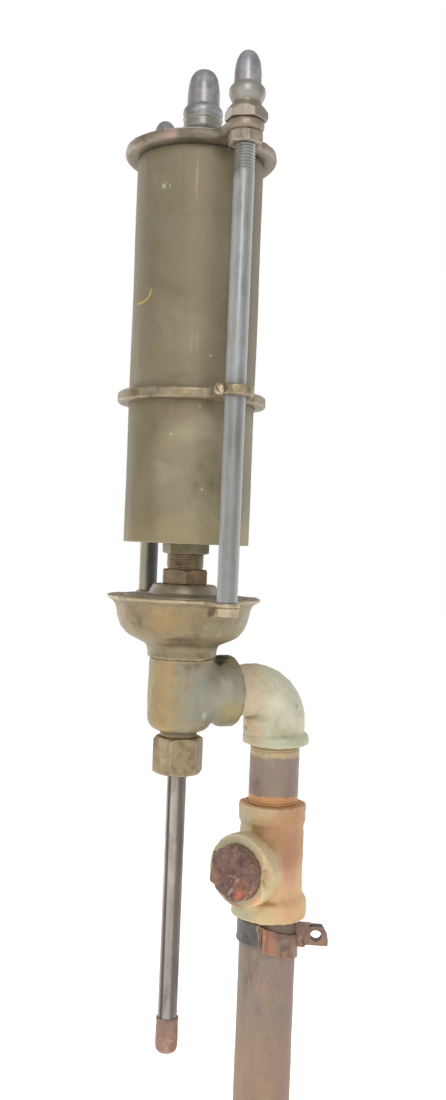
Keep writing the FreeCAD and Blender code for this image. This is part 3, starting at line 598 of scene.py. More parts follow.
    def bump(self, height, depth, strength):
        """Adds a layer of relief."""
        n = self.node("Bump")
        n.inputs["Strength"].default_value = strength
        n.inputs["Distance"].default_value = depth * 0.001
        self.put(n.inputs["Height"], height)
        if self.normal is not None:
            self.tree.links.new(self.normal, n.inputs["Normal"])
        self.normal = n.outputs[0]

    def done(self, rough, metal=0.0, specular=0.5):
        self.put(self.shader.inputs["Base Color"], self.color)
        self.put(self.shader.inputs["Roughness"], rough)
        self.put(self.shader.inputs["Metallic"], metal)
        self.shader.inputs["Specular IOR Level"].default_value = specular
        self.tree.links.new(self.normal, self.shader.inputs["Normal"])


# ------------------------------------------------------------------ brass
def brass_base(f, tones, size, shift, streak):
    """Mottled patina: broad clouds, faint upright streaks and a fine speckle."""
    dark, _, light = tones
    clouds = f.noise(size, detail=4, rough=0.6, shift=shift, bend=0.4)
    f.ground(clouds, (0.30, 0.5, 0.72), tones)
    runs = f.noise(size * 0.4, rough=0.6, squeeze=(1, 1, 0.09), shift=shift + 3.1)
    f.lay(light, streak, f.rise(runs, 0.5, 0.75))
    f.lay(dark, streak, f.rise(runs, 0.5, 0.25))
    f.patches(dark, 0.30, over=(0.56, 0.72), size=1.6, detail=2, rough=0.6, shift=shift)


def make_bell():
    f = Finish("bell_brass")
    brass_base(f, ((112, 102, 78), (132, 123, 99), (150, 142, 117)), size=46, shift=0.0,
               streak=0.12)
    # greener and warmer patches
    f.patches((132, 134, 112), 0.45, over=(0.55, 0.7), size=30, rough=0.6, shift=9)
    f.patches((148, 124, 84), 0.55, over=(0.56, 0.72), size=22, detail=4, rough=0.65,
              squeeze=(1, 1, 0.5), shift=17)
    f.lay((160, 142, 104), 0.35, f.band(40, 62, soft=12))
    # painted shadow under the ring
    f.lay((120, 104, 74), 0.30, f.band(138, 156, soft=9, coords=f.warped(14, amount=6)))
    # rubbed scratches and pin-head spots of verdigris
    fine = f.noise(3.2, detail=2, rough=0.5, squeeze=(1, 1, 0.06), shift=5)
    f.lay((172, 162, 134), 0.12, f.rise(fine, 0.64, 0.74))
    spots = f.flecks(13, core=(0.055, 0.10), patch=26, over=(0.56, 0.62), detail=1, shift=4)
    f.lay((168, 180, 152), 0.7, spots, clamp=True)
    # pale spots: polar angle, height, radius
    f.dabs(f.warped(3, amount=1.4), *(
        (on_bell(polar, z), radius, 1.0, 0.9, (206, 216, 190)) for polar, z, radius in (
            (213.4, 319.9, 2.2), (219.5, 319.4, 1.2), (215.6, 322.0, 1.0),
            (214.5, 317.6, 0.9), (261.5, 189.5, 1.3))))
    # bright crooked scratch: polar angle, height
    scratch = [on_bell(*mark) for mark in (
        (203.1, 240.4), (202.1, 236.6), (198.3, 233.7), (192.5, 232.1), (183.2, 231.6))]
    for a, b in zip(scratch[:-1], scratch[1:]):
        mask = f.line(a, b, width=1.05, soft=0.45, coords=f.warped(5, amount=0.4))
        f.lay((236, 190, 96), 1.0, mask, clamp=True)
    # painted shade on the lower left of the bell, as seen from the camera
    side = f.side(f.warped(24, amount=9))
    low_left = f.times(f.fall(side, -0.110, -0.098),
                       f.band(44, 150, soft=22, coords=f.warped(20, amount=12)))
    f.lay((104, 96, 70), 0.55, low_left)
    # painted shadows: of the near lug nut at the top, of the near rod beside it, and below the near
    # set screw
    for dab in ((on_bell(263.0, 347.0), 8.0, 5.0, 0.60, (84, 70, 60)),
                (on_bell(276.0, 332.0), 9.0, 8.0, 0.35, (112, 84, 58)),
                (on_bell(262.0, 150.0), 8.0, 6.0, 0.45, (96, 86, 62))):
        f.dabs(f.warped(8, amount=4), dab)
    # painted shade, darker towards the top; a bright line at the mouth
    high = f.rise(f.axis(2, f.warped(40, amount=30)), above_rim(110), above_rim(230))
    f.lay((112, 103, 82), 0.55, high)
    f.lay((176, 156, 112), 0.35, f.band(42.0, 43.9, soft=0.5), clamp=True)
    rough = f.less(f.clouded(0.53, 0.64), f.rise(fine, 0.6, 0.7), amount=0.12)
    f.bump(f.noise(1.3, rough=0.6), depth=0.03, strength=0.5)
    f.bump(f.noise(9, detail=2), depth=0.10, strength=0.35)
    f.done(rough, metal=0.37)


def make_cast(name, tones, shift, marks=None, metal=0.58, rough=(0.40, 0.56), size=26.0):
    f = Finish(name)
    brass_base(f, tones, size, shift, streak=0.16)
    f.patches((140, 142, 122), 0.50, over=(0.55, 0.70), size=17, detail=4, rough=0.6,
              shift=shift + 8)
    f.patches((158, 126, 78), 0.55, over=(0.58, 0.72), size=13, detail=4, rough=0.65,
              shift=shift + 21)
    pit = f.flecks(4.2, core=(0.10, 0.22), patch=7, over=(0.55, 0.62), detail=1, shift=shift)
    f.lay((84, 80, 62), 0.55, pit)
    if marks:
        marks(f)
    f.lay((96, 88, 68), 0.38, f.hollows(0.44, 0.495))
    wear = f.wear((190, 174, 142), 0.50, edges=(0.505, 0.56), size=5, over=(0.36, 0.56), shift=2)
    gloss = f.less(f.clouded(*rough), wear, amount=0.12)
    f.bump(f.noise(1.5, rough=0.6), depth=0.10, strength=0.6)
    f.bump(f.noise(5.5), depth=0.22, strength=0.45)
    f.bump(pit, depth=0.12, strength=0.4)
    f.done(gloss, metal)


def cap_marks(f):
    # painted shadows under the flange left of the near lug, and a pinkish patch
    f.dabs(f.warped(5, amount=3),
           (at(-30.0, -53.5, 354.8), 16.0, 9.0, 0.75, (94, 84, 74)),
           (at(-14.0, -60.0, 355.0), 12.0, 8.0, 0.60, (104, 100, 86)),
           (at(-45.0, -42.0, 358.0), 8.0, 5.0, 0.65, (176, 144, 132)))
    # painted shade on the underside inboard, a painted highlight along the upper arris on the left
    from_axis = f.vec("SUBTRACT", f.warped(6, amount=1.6), at(0, 0, 0))
    plan = f.vec("MULTIPLY", from_axis, (1, 1, 0))
    inner = f.times(f.fall(f.vec("LENGTH", plan), 0.0525, 0.0562), f.band(300, 353.2, soft=0.6))
    f.lay((96, 90, 70), 0.75, inner)
    side = f.side(f.warped(8, amount=2))
    arris = f.times(f.band(359.2, 362.0, soft=0.5),
                    f.span(side, (-0.110, -0.104), (-0.074, -0.068)))
    arris = f.times(arris, f.rise(f.vec("LENGTH", plan), 0.0575, 0.0590))
    f.lay((204, 204, 194), 0.70, arris)
    lug = f.spot(at(0, -ROD_Y, 356), radius=22.0, soft=10.0, coords=f.warped(7, amount=4))
    f.lay((146, 126, 112), 0.45, lug)
    # painted shade low on the cap, under the flange
    f.lay((116, 104, 86), 0.35, f.band(340, 353.4, soft=0.8))


def bowl_marks(f):
    ragged = f.warped(9, amount=8)
    side = f.side(ragged)
    # golden left flank, greener right flank
    left = f.span(side, (-0.112, -0.096), (-0.094, -0.074))
    f.lay((158, 128, 78), 0.55, f.times(left, f.band(-26, -6, 6, ragged)))
    f.lay((144, 140, 118), 0.35, f.rise(side, -0.062, -0.036))
    f.lay((132, 124, 96), 0.5, f.band(-52, -40, 3, ragged))
    f.lay((182, 168, 144), 0.50, f.band(-3.0, 0.5, 0.8, f.warped(6, amount=1.2)))


def body_marks(f):
    ragged = f.warped(9, amount=7)
    side = f.side(ragged)
    # painted highlight down the left of the barrel, golden
    f.lay((176, 146, 100), 0.55, f.span(side, (-0.106, -0.098), (-0.092, -0.082)))
    cool = f.times(f.rise(side, -0.084, -0.070), f.band(-100, -56, 8, ragged))
    f.lay((150, 152, 142), 0.60, cool)
    f.dabs(ragged, (at(36.0, -25.0, -92.0), 15.0, 9.0, 0.75, (150, 134, 86)))
    f.dabs(f.warped(5, amount=4), (at(30.0, -6.0, -48.5), 12.5, 5.0, 0.9, (62, 70, 54)))
    f.dabs(f.warped(4, amount=2), (at(26.0, -10.0, -51.0), 4.0, 2.0, 0.8, (60, 112, 84)))
    f.dabs(f.warped(4, amount=2), (at(12.5, -24.5, -95.0), 4.2, 3.0, 0.75, (186, 196, 182)))
    f.lay((172, 162, 122), 0.35, f.band(-52.2, -50.9, 0.5, f.warped(4, amount=0.5)), clamp=True)
    f.lay((96, 86, 72), 0.6, f.band(-112.6, -109.0, soft=1.0), clamp=True)
    # brown face of the side branch
    x = f.axis(0, f.warped(6, amount=1.5))
    f.lay((104, 62, 46), 0.85, f.rise(x, -0.0468, -0.0454))


def make_acorn():
    """Turned and once polished: fine rings, dulled patches."""
    dark, light = (135, 132, 133), (163, 163, 171)
    f = Finish("acorn_brass")
    f.ground(f.noise(11, detail=4, rough=0.6), (0.34, 0.66), (dark, light))
    f.patches((148, 140, 122), 0.4, over=(0.56, 0.70), size=7, rough=0.6, shift=5)
    # painted shade down the left side of each acorn
    side = f.side(f.warped(8, amount=1.2))
    strips = [f.times(f.fall(side, *falling), f.rise(side, *rising)) for falling, rising in (
        ((-0.0900, -0.0868), (-0.0990, -0.0965)), ((-0.0540, -0.0515), (-0.0600, -0.0580)))]
    f.lay((116, 106, 92), 0.45, f.calc("ADD", *strips))
    # the bead and the foot are darker: heights above the cap, strength, colour
    for low, high, strength, color in ((24.0, 31.0, 0.60, (142, 138, 118)),
                                       (12.0, 17.0, 0.55, (140, 124, 108))):
        mask = f.fall(f.axis(2), above_rim(CAP_TOP + low), above_rim(CAP_TOP + high))
        f.lay(color, strength, mask)
    rings = f.noise(0.7, detail=2, rough=0.5, squeeze=(0.02, 0.02, 1))
    f.lay(dark, 0.16, f.rise(rings, 0.45, 0.62))
    f.lay((84, 78, 58), 0.65, f.hollows(0.43, 0.492))
    f.wear((206, 192, 160), 0.6, edges=(0.508, 0.57), size=3.5, over=(0.35, 0.55), shift=1)
    f.bump(rings, depth=0.02, strength=0.4)
    f.bump(f.noise(1.4, rough=0.6), depth=0.03, strength=0.5)
    f.done(f.clouded(0.35, 0.48), metal=0.52)


def make_nut(name, tones, shift, accent=(160, 134, 108), metal=0.55, rough=0.42):
    f = Finish(name)
    clouds = f.noise(13, detail=4, rough=0.6, shift=shift, bend=0.5)
    f.ground(clouds, (0.32, 0.5, 0.68), tones)
    f.patches(accent, 0.5, over=(0.57, 0.70), size=6, rough=0.6, shift=shift + 4)
    tool = f.noise(1.6, detail=2, rough=0.5, squeeze=(0.25, 0.25, 1), shift=shift)
    f.lay(tones[2], 0.22, f.rise(tool, 0.54, 0.70))
    f.lay((84, 74, 56), 0.55, f.hollows(0.43, 0.49))
    wear = f.wear((198, 186, 160), 0.45, edges=(0.506, 0.56), size=3.0, over=(0.34, 0.54), shift=7)
    gloss = f.less(f.clouded(rough, rough + 0.12), wear, amount=0.06)
    f.bump(tool, depth=0.035, strength=0.5)
    f.bump(f.noise(1.3, rough=0.6), depth=0.05, strength=0.5)
    f.bump(f.noise(4.5, detail=2, rough=0.5), depth=0.12, strength=0.35)
    f.done(gloss, metal)


# ------------------------------------------------------------------ bright steel
def make_steel(name, tones, shift, tint, stain, metal, rough, marks):
    """Drawn bar: long upright streaks, tarnish clouds tinted `stain` strong."""
    dark, _, light = tones
    f = Finish(name)
    runs = f.noise(5, detail=4, rough=0.6, squeeze=(1, 1, 0.035), shift=shift)
    clouds = f.noise(22, detail=4, rough=0.6, squeeze=(1, 1, 0.5), shift=shift + 2)
    f.ground(clouds, (0.32, 0.5, 0.68), tones)
    f.lay(light, 0.40, f.rise(runs, 0.52, 0.70))
    f.lay(dark, 0.35, f.rise(runs, 0.48, 0.30))
    f.patches(tint, stain, over=(0.54, 0.70), size=14, detail=4, rough=0.65, shift=shift + 6)
    dots = f.flecks(3.4, core=(0.07, 0.16), patch=12, over=(0.54, 0.62), detail=2,
                    shift=shift + 3)
    f.lay((88, 84, 74), 0.5, dots)
    f.lay((74, 78, 70), 0.6, f.hollows(0.42, 0.485))
    gloss = f.calc("ADD", f.clouded(rough, rough + 0.14), f.calc("MULTIPLY", dots, 0.2))
    marks(f)
    drawn = f.noise(0.9, detail=2, rough=0.5, squeeze=(1, 1, 0.03), shift=shift)
    f.bump(drawn, depth=0.02, strength=0.5)
    f.bump(dots, depth=0.05, strength=0.4)
    f.done(gloss, metal)


def tie_rod_marks(f):
    """The far rod has painted shade low down, with a painted lit strip on its left; the near one is
    dulled lower down, with painted highlights on both edges and painted shade on the left of its
    thread.
    """
    y = f.axis(1)

    def near():
        return f.fall(y, -0.01, 0.0)

    # painted shade low on the far rod, with a painted lit strip down its left edge
    far_shade = f.times(f.rise(y, 0.0, 0.01), f.band(-20, 52, 12, f.warped(20, amount=10)))
    side = f.side(f.warped(14, amount=1.0))
    lit = f.times(far_shade, f.fall(side, -0.1195, -0.1160))
    f.lay((112, 112, 106), 0.42, f.times(near(), f.band(-10, 190, 60, f.warped(30, amount=16))))
    # painted highlights down both edges of the near rod
    rims = f.calc("ADD", f.fall(side, -0.0526, -0.0506), f.rise(side, -0.0428, -0.0406))
    f.lay((184, 184, 182), 0.50, f.times(near(), rims), clamp=True)
    # painted shade on the left of the near rod's threaded top
    thread_shade = f.times(near(), f.band(318, 360, 5, f.warped(6, amount=4)))
    f.lay((92, 84, 76), 0.65, f.times(thread_shade, f.fall(side, -0.0506, -0.0484)))
    f.lay((120, 122, 108), 0.25, f.band(322, 360, soft=3))
    # painted shade, then the painted lit strip
    f.lay((72, 68, 67), 0.80, far_shade)
    f.lay((166, 162, 138), 0.90, lit)


def piston_rod_shade_streaks(f):
    """Two long dark streaks of painted shade, either side of the rod's lit middle."""
    side = f.calc("ADD", f.side(f.warped(30, amount=1.0, squeeze=(1, 1, 0.2))), 0.0816)
    left = f.span(side, (-0.0072, -0.0056), (-0.0048, -0.0036))
    right_ = f.span(side, (0.0008, 0.0030), (0.0052, 0.0068))
    f.lay((70, 62, 56), 0.92, left)
    f.lay((82, 78, 76), 0.80, right_)


# ------------------------------------------------------------------ iron
def make_elbow():
    f = Finish("galvanised_iron")
    f.ground(f.noise(20, detail=5, rough=0.62, shift=2.0, bend=0.5), (0.30, 0.48, 0.66),
             ((172, 164, 138), (188, 184, 160), (202, 198, 174)))
    f.patches((178, 190, 164), 0.55, over=(0.52, 0.68), size=12, detail=4, rough=0.6, shift=6)
    f.patches((206, 186, 150), 0.55, over=(0.56, 0.70), size=9, detail=4, rough=0.65, shift=14)
    # pale green bloom on the socket bead, brown staining where it meets the brass
    ragged = f.warped(8, amount=7)
    f.lay((172, 178, 148), 0.55, f.band(-126, -113, 3, ragged))
    x = f.axis(0, ragged)
    f.lay((198, 172, 136), 0.55, f.fall(x, -0.030, -0.014))
    f.lay((138, 72, 50), 0.85, f.fall(x, -0.0445, -0.040))
    # slanting orange run: start and end as polar angle and height, width
    ragged = f.warped(5, amount=5)
    for start, end, width in (((172, -101.0), (191, -106.0), 3.0),
                              ((191, -106.0), (206, -110.6), 3.0),
                              ((206, -110.6), (220, -113.0), 2.6)):
        mask = f.line(on_pipe(*start, 28.0), on_pipe(*end, 27.0), width, soft=3.0, coords=ragged)
        f.lay((210, 160, 118), 0.70, mask, clamp=True)
    f.dabs(ragged, (on_pipe(182, -109.5, 28.4), 2.4, 1.6, 0.7, (84, 70, 52)))
    f.dabs(f.warped(6, amount=5), (on_pipe(215, -101.0, 24.2), 7.0, 6.0, 0.35, (176, 196, 168)))
    # roughened, darker skin low on the bend
    scab = f.times(f.spot(on_pipe(300, -92.0, 24.0), 13.0, 8.0, f.warped(6, amount=6)),
                   f.rise(f.noise(2.4, rough=0.65, shift=31), 0.50, 0.60))
    f.lay((140, 128, 104), 0.50, scab)
    flakes = f.flecks(5.0, core=(0.12, 0.26), patch=10, over=(0.52, 0.60), detail=2, shift=9)
    f.lay((168, 150, 118), 0.35, flakes)
    f.patches((150, 136, 106), 0.30, over=(0.60, 0.70), size=1.4, detail=2, rough=0.6)
    f.lay((150, 132, 98), 0.55, f.hollows(0.44, 0.492))
    f.lay((232, 232, 214), 0.35, f.edges(0.51, 0.57))
    f.bump(f.noise(1.6, rough=0.65), depth=0.14, strength=0.7)
    f.bump(f.noise(6.0, rough=0.6), depth=0.35, strength=0.5)
    f.bump(flakes, depth=0.14, strength=0.4)
    f.done(f.clouded(0.50, 0.66), metal=0.10)


def make_pipe(name, shift, bands):
    """Scaled pipe; bands are rows of (low, high, soft edge, strength, colour)."""
    f = Finish(name)
    side = f.side(f.warped(9, amount=8, squeeze=(1, 1, 0.4)))
    clouds = f.noise(18, detail=5, rough=0.65, squeeze=(1, 1, 0.4), shift=shift, bend=0.6)
    f.ground(clouds, (0.30, 0.50, 0.70), ((118, 100, 89), (138, 121, 107), (153, 138, 121)))
    f.lay((136, 116, 112), 0.55, f.rise(side, 0.004, 0.016))
    f.patches((146, 140, 110), 0.45, over=(0.54, 0.68), size=11, detail=5, rough=0.65,
              squeeze=(1, 1, 0.5), shift=shift + 5)
    f.patches((172, 126, 92), 0.45, over=(0.55, 0.66), size=9, detail=5, rough=0.68,
              squeeze=(1, 1, 0.45), shift=shift + 11)
    ragged = f.warped(7, amount=3.0)
    for low, high, soft, strength, color in bands:
        f.lay(color, strength, f.band(low, high, soft, ragged))
    flake = f.flecks(4.5, core=(0.10, 0.24), patch=9, over=(0.52, 0.60), detail=2,
                     shift=shift + 1, squeeze=(1, 1, 0.6))
    f.lay((112, 92, 80), 0.45, flake)
    speck = f.noise(1.3, rough=0.65)
    f.lay((184, 160, 138), 0.35, f.rise(speck, 0.56, 0.70))
    f.lay((92, 74, 60), 0.6, f.hollows(0.42, 0.488))
    f.bump(speck, depth=0.08, strength=0.6)
    f.bump(flake, depth=0.16, strength=0.4)
    f.bump(f.noise(6, detail=4, rough=0.6, squeeze=(1, 1, 0.6)), depth=0.22, strength=0.45)
    f.done(f.clouded(0.52, 0.68), metal=0.18)


def make_end_cap():
    f = Finish("end_cap_rust")
    f.ramp(f.noise(6, detail=5, rough=0.65, shift=2), (0.30, 0.50, 0.70),
           ((118, 92, 80), (146, 116, 100), (176, 142, 120)))
    ragged = f.warped(4, amount=3)
    f.lay((124, 108, 100), 0.45, f.band(-354, -344, 3, ragged), clamp=True)
    f.lay((176, 128, 122), 0.45, f.band(-376, -371, 2, ragged), clamp=True)
    f.patches((186, 140, 104), 0.5, over=(0.56, 0.68), size=4, rough=0.6, shift=5)
    speck = f.noise(1.0, rough=0.7)
    f.lay((96, 74, 64), 0.4, f.rise(speck, 0.56, 0.70))
    f.bump(speck, depth=0.12, strength=0.8)
    f.bump(f.noise(3), depth=0.2, strength=0.4)
    f.done(0.68, metal=0.12)


def make_clamp(name, tones, shift, marks=None):
    f = Finish(name)
    clouds = f.noise(11, detail=5, rough=0.65, squeeze=(1, 1, 0.6), shift=shift, bend=0.4)
    f.ground(clouds, (0.30, 0.50, 0.70), tones)
    f.patches((112, 92, 78), 0.45, over=(0.55, 0.68), size=5, detail=4, rough=0.65,
              shift=shift + 4)
    if marks:
        marks(f)
    f.lay((58, 46, 40), 0.6, f.hollows(0.42, 0.488))
    f.wear((206, 172, 146), 0.65, edges=(0.51, 0.58), size=2.5, over=(0.34, 0.52), shift=shift)
    speck = f.noise(1.2, rough=0.65, shift=shift)
    f.lay(tones[0], 0.3, f.rise(speck, 0.57, 0.70))
    f.bump(speck, depth=0.07, strength=0.6)
    f.bump(f.noise(4, rough=0.6, shift=shift), depth=0.16, strength=0.4)
    f.done(f.clouded(0.42, 0.58), metal=0.35)


def front_strap_marks(f):
    ragged = f.warped(5, amount=4)
    side = f.side(ragged, turn=-28.2)
    f.lay((186, 120, 90), 0.45, f.span(side, (-0.006, 0.0), (0.004, 0.009)))
    # painted shadow of the tee on the strap's upper part
    upper = f.band(-284, -268, 3, ragged)
    f.lay((112, 92, 84), 0.7, f.times(upper, f.rise(side, 0.0, 0.008)))
    f.dabs(f.warped(3, amount=1),
           (on_pipe(*STRAP_DIMPLE, 26.4), 6.0, 2.6, 0.75, (118, 104, 100)))


def make_soft(name, dark, light, size, rough, depth):
    """Leather, packing and gasket: cloudy and grained."""
    f = Finish(name)
    clouds = f.noise(size, detail=5, rough=0.65)
    grain = f.cells(size * 0.35)
    f.ramp(clouds, (0.3, 0.7), (dark, light))
    f.lay(dark, 0.3, f.rise(grain, 0.3, 0.6))
    f.bump(grain, depth, strength=0.7)
    f.bump(clouds, depth, strength=0.4)
    f.done(rough, specular=0.3)


TEE_OUT = (math.cos(TEE_TURN), math.sin(TEE_TURN), 0.0)     # unit vector along the tee's branch


def make_tee():
    f = Finish("stained_iron")
    ragged = f.warped(9, amount=7, squeeze=(1, 1, 0.4))
    side = f.side(ragged)
    clouds = f.noise(17, detail=5, rough=0.62, squeeze=(1, 1, 0.35), shift=3.0, bend=0.4)
    f.ground(clouds, (0.30, 0.50, 0.70), ((176, 128, 88), (196, 154, 116), (202, 176, 138)))
    # upright runs of orange and rose rust, a rosy strip on the right
    runs = f.noise(6.5, detail=4, rough=0.6, squeeze=(1, 1, 0.07), shift=8)
    f.lay((196, 136, 98), 0.60, f.rise(runs, 0.50, 0.66))
    rose = f.span(side, (0.006, 0.013), (0.017, 0.023))
    f.lay((190, 132, 112), 0.70, f.times(rose, f.band(-272, -184, 8, ragged)))
    tan = f.times(f.rise(side, -0.016, -0.006), f.band(-222, -192, 7, f.warped(8, amount=6)))
    f.lay((166, 122, 82), 0.60, tan)
    low = f.times(f.band(-276, -236, 12, ragged), f.rise(side, -0.018, -0.004))
    f.lay((214, 176, 126), 0.65, low)
    # buff top bead
    f.lay((172, 130, 88), 0.65, f.band(-191, -172, 2, f.warped(5, amount=2)), clamp=True)
    # pale green-grey round the branch and on the left flank
    centre = at(0, 0, TEE_Z, PIPE)
    rel = f.vec("SUBTRACT", f.warped(6, amount=5), centre)
    green = f.rise(f.vec("DOT_PRODUCT", rel, TEE_OUT), 0.016, 0.029)
    f.lay((194, 178, 140), 0.60, green)
    left = f.times(f.rise(side, -0.014, -0.021), f.band(-276, -180, soft=6))
    f.lay((174, 172, 146), 0.6, left)
    mottle = f.rise(f.noise(7, detail=4, rough=0.6, shift=31), 0.52, 0.66)
    f.lay((200, 190, 142), 0.5, f.times(mottle, green))
    foot = f.times(f.rise(side, -0.010, -0.018), f.band(-274, -258, 4, f.warped(4, amount=3)))
    f.lay((184, 188, 152), 0.40, foot)
    # orange rust weeping from below the plug, among brown and olive dabs
    weep = (TEE_OUT[0] * 0.0455 + 0.009, TEE_OUT[1] * 0.0455 - 0.017, centre[2] - 0.024)
    # warp size and amount, then the dab
    for warp, dab in (
            ((4, 3), (at(-16.5, -20.5, -270.5, PIPE), 5.0, 3.0, 0.8, (122, 128, 68))),
            ((5, 4), (at(-15.5, -19.5, -196.0, PIPE), 6.0, 5.0, 0.45, (136, 116, 60))),
            ((4, 4), (weep, 9.0, 6.0, 0.7, (222, 168, 108))),
            ((10, 9), (on_pipe(236, -196.0, 27.4), 19.0, 12.0, 0.60, (166, 122, 80))),
            ((6, 6), (on_pipe(216, -195.0, 27.4), 8.0, 5.0, 0.55, (122, 96, 52)))):
        f.dabs(f.warped(*warp), dab)
    seam = f.times(f.band(-254.6, -251.6, 0.9, f.warped(8, amount=2.0)),
                   f.rise(side, 0.012, 0.0))
    f.lay((168, 112, 58), 0.65, seam)
    f.patches((150, 112, 80), 0.28, over=(0.60, 0.70), size=1.5, detail=2, rough=0.6)
    f.lay((140, 106, 70), 0.55, f.hollows(0.44, 0.493))
    f.lay((228, 220, 190), 0.35, f.edges(0.51, 0.57))
    f.bump(f.noise(1.6, rough=0.65), depth=0.14, strength=0.7)
    f.bump(f.noise(6.5, rough=0.6), depth=0.35, strength=0.5)
    f.bump(runs, depth=0.10, strength=0.3)
    f.done(f.clouded(0.50, 0.68), metal=0.08)


def on_face(right_, above, out=54.8):
    """Point on the plug: right of and above its axis, and out along the branch."""
    ux, uy, _ = TEE_OUT
    return at(out * ux - right_ * uy, out * uy + right_ * ux, TEE_Z + above, PIPE)


def make_plug():
    f = Finish("rusty_iron")
    f.ground(f.noise(8, detail=5, rough=0.68, shift=1.0, bend=0.6), (0.30, 0.50, 0.70),
             ((82, 60, 56), (112, 86, 79), (138, 110, 94)))
    f.patches((112, 88, 84), 0.55, over=(0.52, 0.66), size=4.5, detail=4, rough=0.65, shift=7)
    f.patches((160, 122, 84), 0.5, over=(0.55, 0.68), size=6, detail=4, rough=0.65, shift=13)
    f.dabs(f.warped(4, amount=4),
           (on_face(12.5, -8.5), 11.0, 7.0, 0.60, (152, 100, 76)),
           (on_face(7.2, -15.8), 5.4, 3.6, 0.8, (202, 108, 72)),
           (on_face(-16.0, -7.0, 52), 8.5, 5.0, 0.45, (168, 130, 108)),
           (on_face(9.5, 12.0), 6.5, 4.0, 0.6, (70, 52, 52)))
    # pale V ridge: end of each arm, width
    arms = [f.line(on_face(7.2, -2.6, 55.5), end, width, soft=1.2, coords=f.warped(3, amount=1.2))
            for end, width in ((on_face(-3.2, -18.0, 55.0), 2.0), (on_face(-1.6, -1.2, 55.5), 1.8))]
    f.lay((182, 158, 142), 0.55, f.calc("MAXIMUM", *arms), clamp=True)
    # the plug's threaded side shows between the branch and its face
    out = f.vec("DOT_PRODUCT", f.coords, TEE_OUT)
    edge = f.span(out, (0.0449, 0.0455), (0.0532, 0.0540))
    f.lay((150, 122, 102), 0.55, edge)
    groove = f.times(edge, f.fall(f.calc("PINGPONG", out, 0.0011), 0.0003, 0.0008))
    f.lay((78, 58, 50), 0.65, groove)
    f.lay((74, 52, 48), 0.7, f.hollows(0.40, 0.485))
    f.lay((184, 152, 130), 0.45, f.edges(0.51, 0.60))
    speck = f.noise(1.1, rough=0.7)
    f.lay((176, 136, 116), 0.4, f.rise(speck, 0.55, 0.70))
    f.bump(speck, depth=0.20, strength=0.8)
    f.bump(f.noise(3.2, detail=4, rough=0.65), depth=0.40, strength=0.6)
    f.done(f.clouded(0.72, 0.88), metal=0.05)


# ------------------------------------------------------------------ the materials
# three tones are dark, middle and light
make_bell()
make_cast("cast_brass", ((108, 95, 70), (138, 122, 94), (160, 144, 114)), 1.0, bowl_marks)
make_cast("cap_brass", ((108, 97, 83), (136, 124, 109), (158, 146, 131)), 2.0, cap_marks)
make_cast("ring_brass", ((104, 94, 74), (138, 125, 101), (168, 153, 125)), 5.0, size=14.0)
make_cast("languid_brass", ((114, 105, 88), (144, 134, 115), (166, 157, 139)), 4.0)
make_cast("body_brass", ((116, 103, 76), (148, 134, 104), (168, 156, 128)), 3.0, body_marks,
          metal=0.38, rough=(0.50, 0.62))
make_acorn()
make_nut("nut_brass", ((124, 108, 82), (152, 134, 106), (176, 158, 126)), 2.0)
make_nut("lug_nut_brass", ((128, 117, 104), (154, 143, 130), (176, 166, 154)), 2.0,
         accent=(166, 144, 128))
make_nut("bowl_nut_brass", ((150, 132, 104), (184, 166, 136), (214, 198, 170)), 5.0,
         accent=(196, 168, 128), metal=0.65, rough=0.34)
make_nut("gland_brass", ((98, 83, 62), (126, 107, 82), (148, 130, 104)), 6.0,
         accent=(150, 96, 66))
make_nut("gland_nut_brass", ((96, 90, 66), (122, 114, 84), (142, 134, 102)), 9.0,
         accent=(118, 118, 84))
make_steel("rod_steel", ((124, 126, 120), (144, 146, 144), (160, 164, 168)), 1.0,
           tint=(140, 142, 124), stain=0.4, metal=0.45, rough=0.40, marks=tie_rod_marks)
make_steel("piston_steel", ((120, 112, 104), (150, 142, 134), (172, 164, 156)), 4.0,
           tint=(134, 126, 110), stain=0.3, metal=0.62, rough=0.28, marks=piston_rod_shade_streaks)
make_nut("screw_steel", ((150, 132, 108), (186, 170, 144), (220, 206, 184)), 3.0,
         accent=(196, 172, 130), metal=0.7, rough=0.34)
make_elbow()
make_pipe("nipple_steel", 3.0, [(-133.5, -124, 1.6, 0.8, (190, 168, 130)),
                                (-182, -166.4, 0.9, 0.9, (198, 144, 92))])
# the first band is painted shadow of the tee
make_pipe("pipe_steel", 7.0, [(-292, -262, 5, 0.65, (104, 88, 80)),
                              (-480, -452, 6, 0.55, (152, 104, 72)),
                              (-440, -360, 22, 0.30, (168, 128, 98))])
make_end_cap()
make_clamp("clamp_dark", ((78, 74, 71), (98, 94, 92), (120, 116, 112)), 1.0)
make_clamp("clamp_copper", ((112, 84, 70), (144, 113, 93), (176, 146, 124)), 5.0,
           front_strap_marks)
make_soft("leather", (54, 34, 20), (96, 64, 40), size=5.0, rough=0.6, depth=0.15)
make_soft("packing", (70, 66, 58), (120, 114, 100), size=2.0, rough=0.85, depth=0.3)
make_soft("gasket", (60, 54, 48), (92, 84, 74), size=4.0, rough=0.8, depth=0.1)
make_tee()
make_plug()

# finishes paired with another finish; the rest map to themselves
SLOT_OF = {
    "cap_brass": "cast_brass", "ring_brass": "cast_brass", "languid_brass": "cast_brass",
    "body_brass": "cast_brass", "lug_nut_brass": "nut_brass", "bowl_nut_brass": "nut_brass",
    "gland_brass": "nut_brass", "gland_nut_brass": "nut_brass", "nipple_steel": "pipe_steel",
    "end_cap_rust": "rusty_iron"}

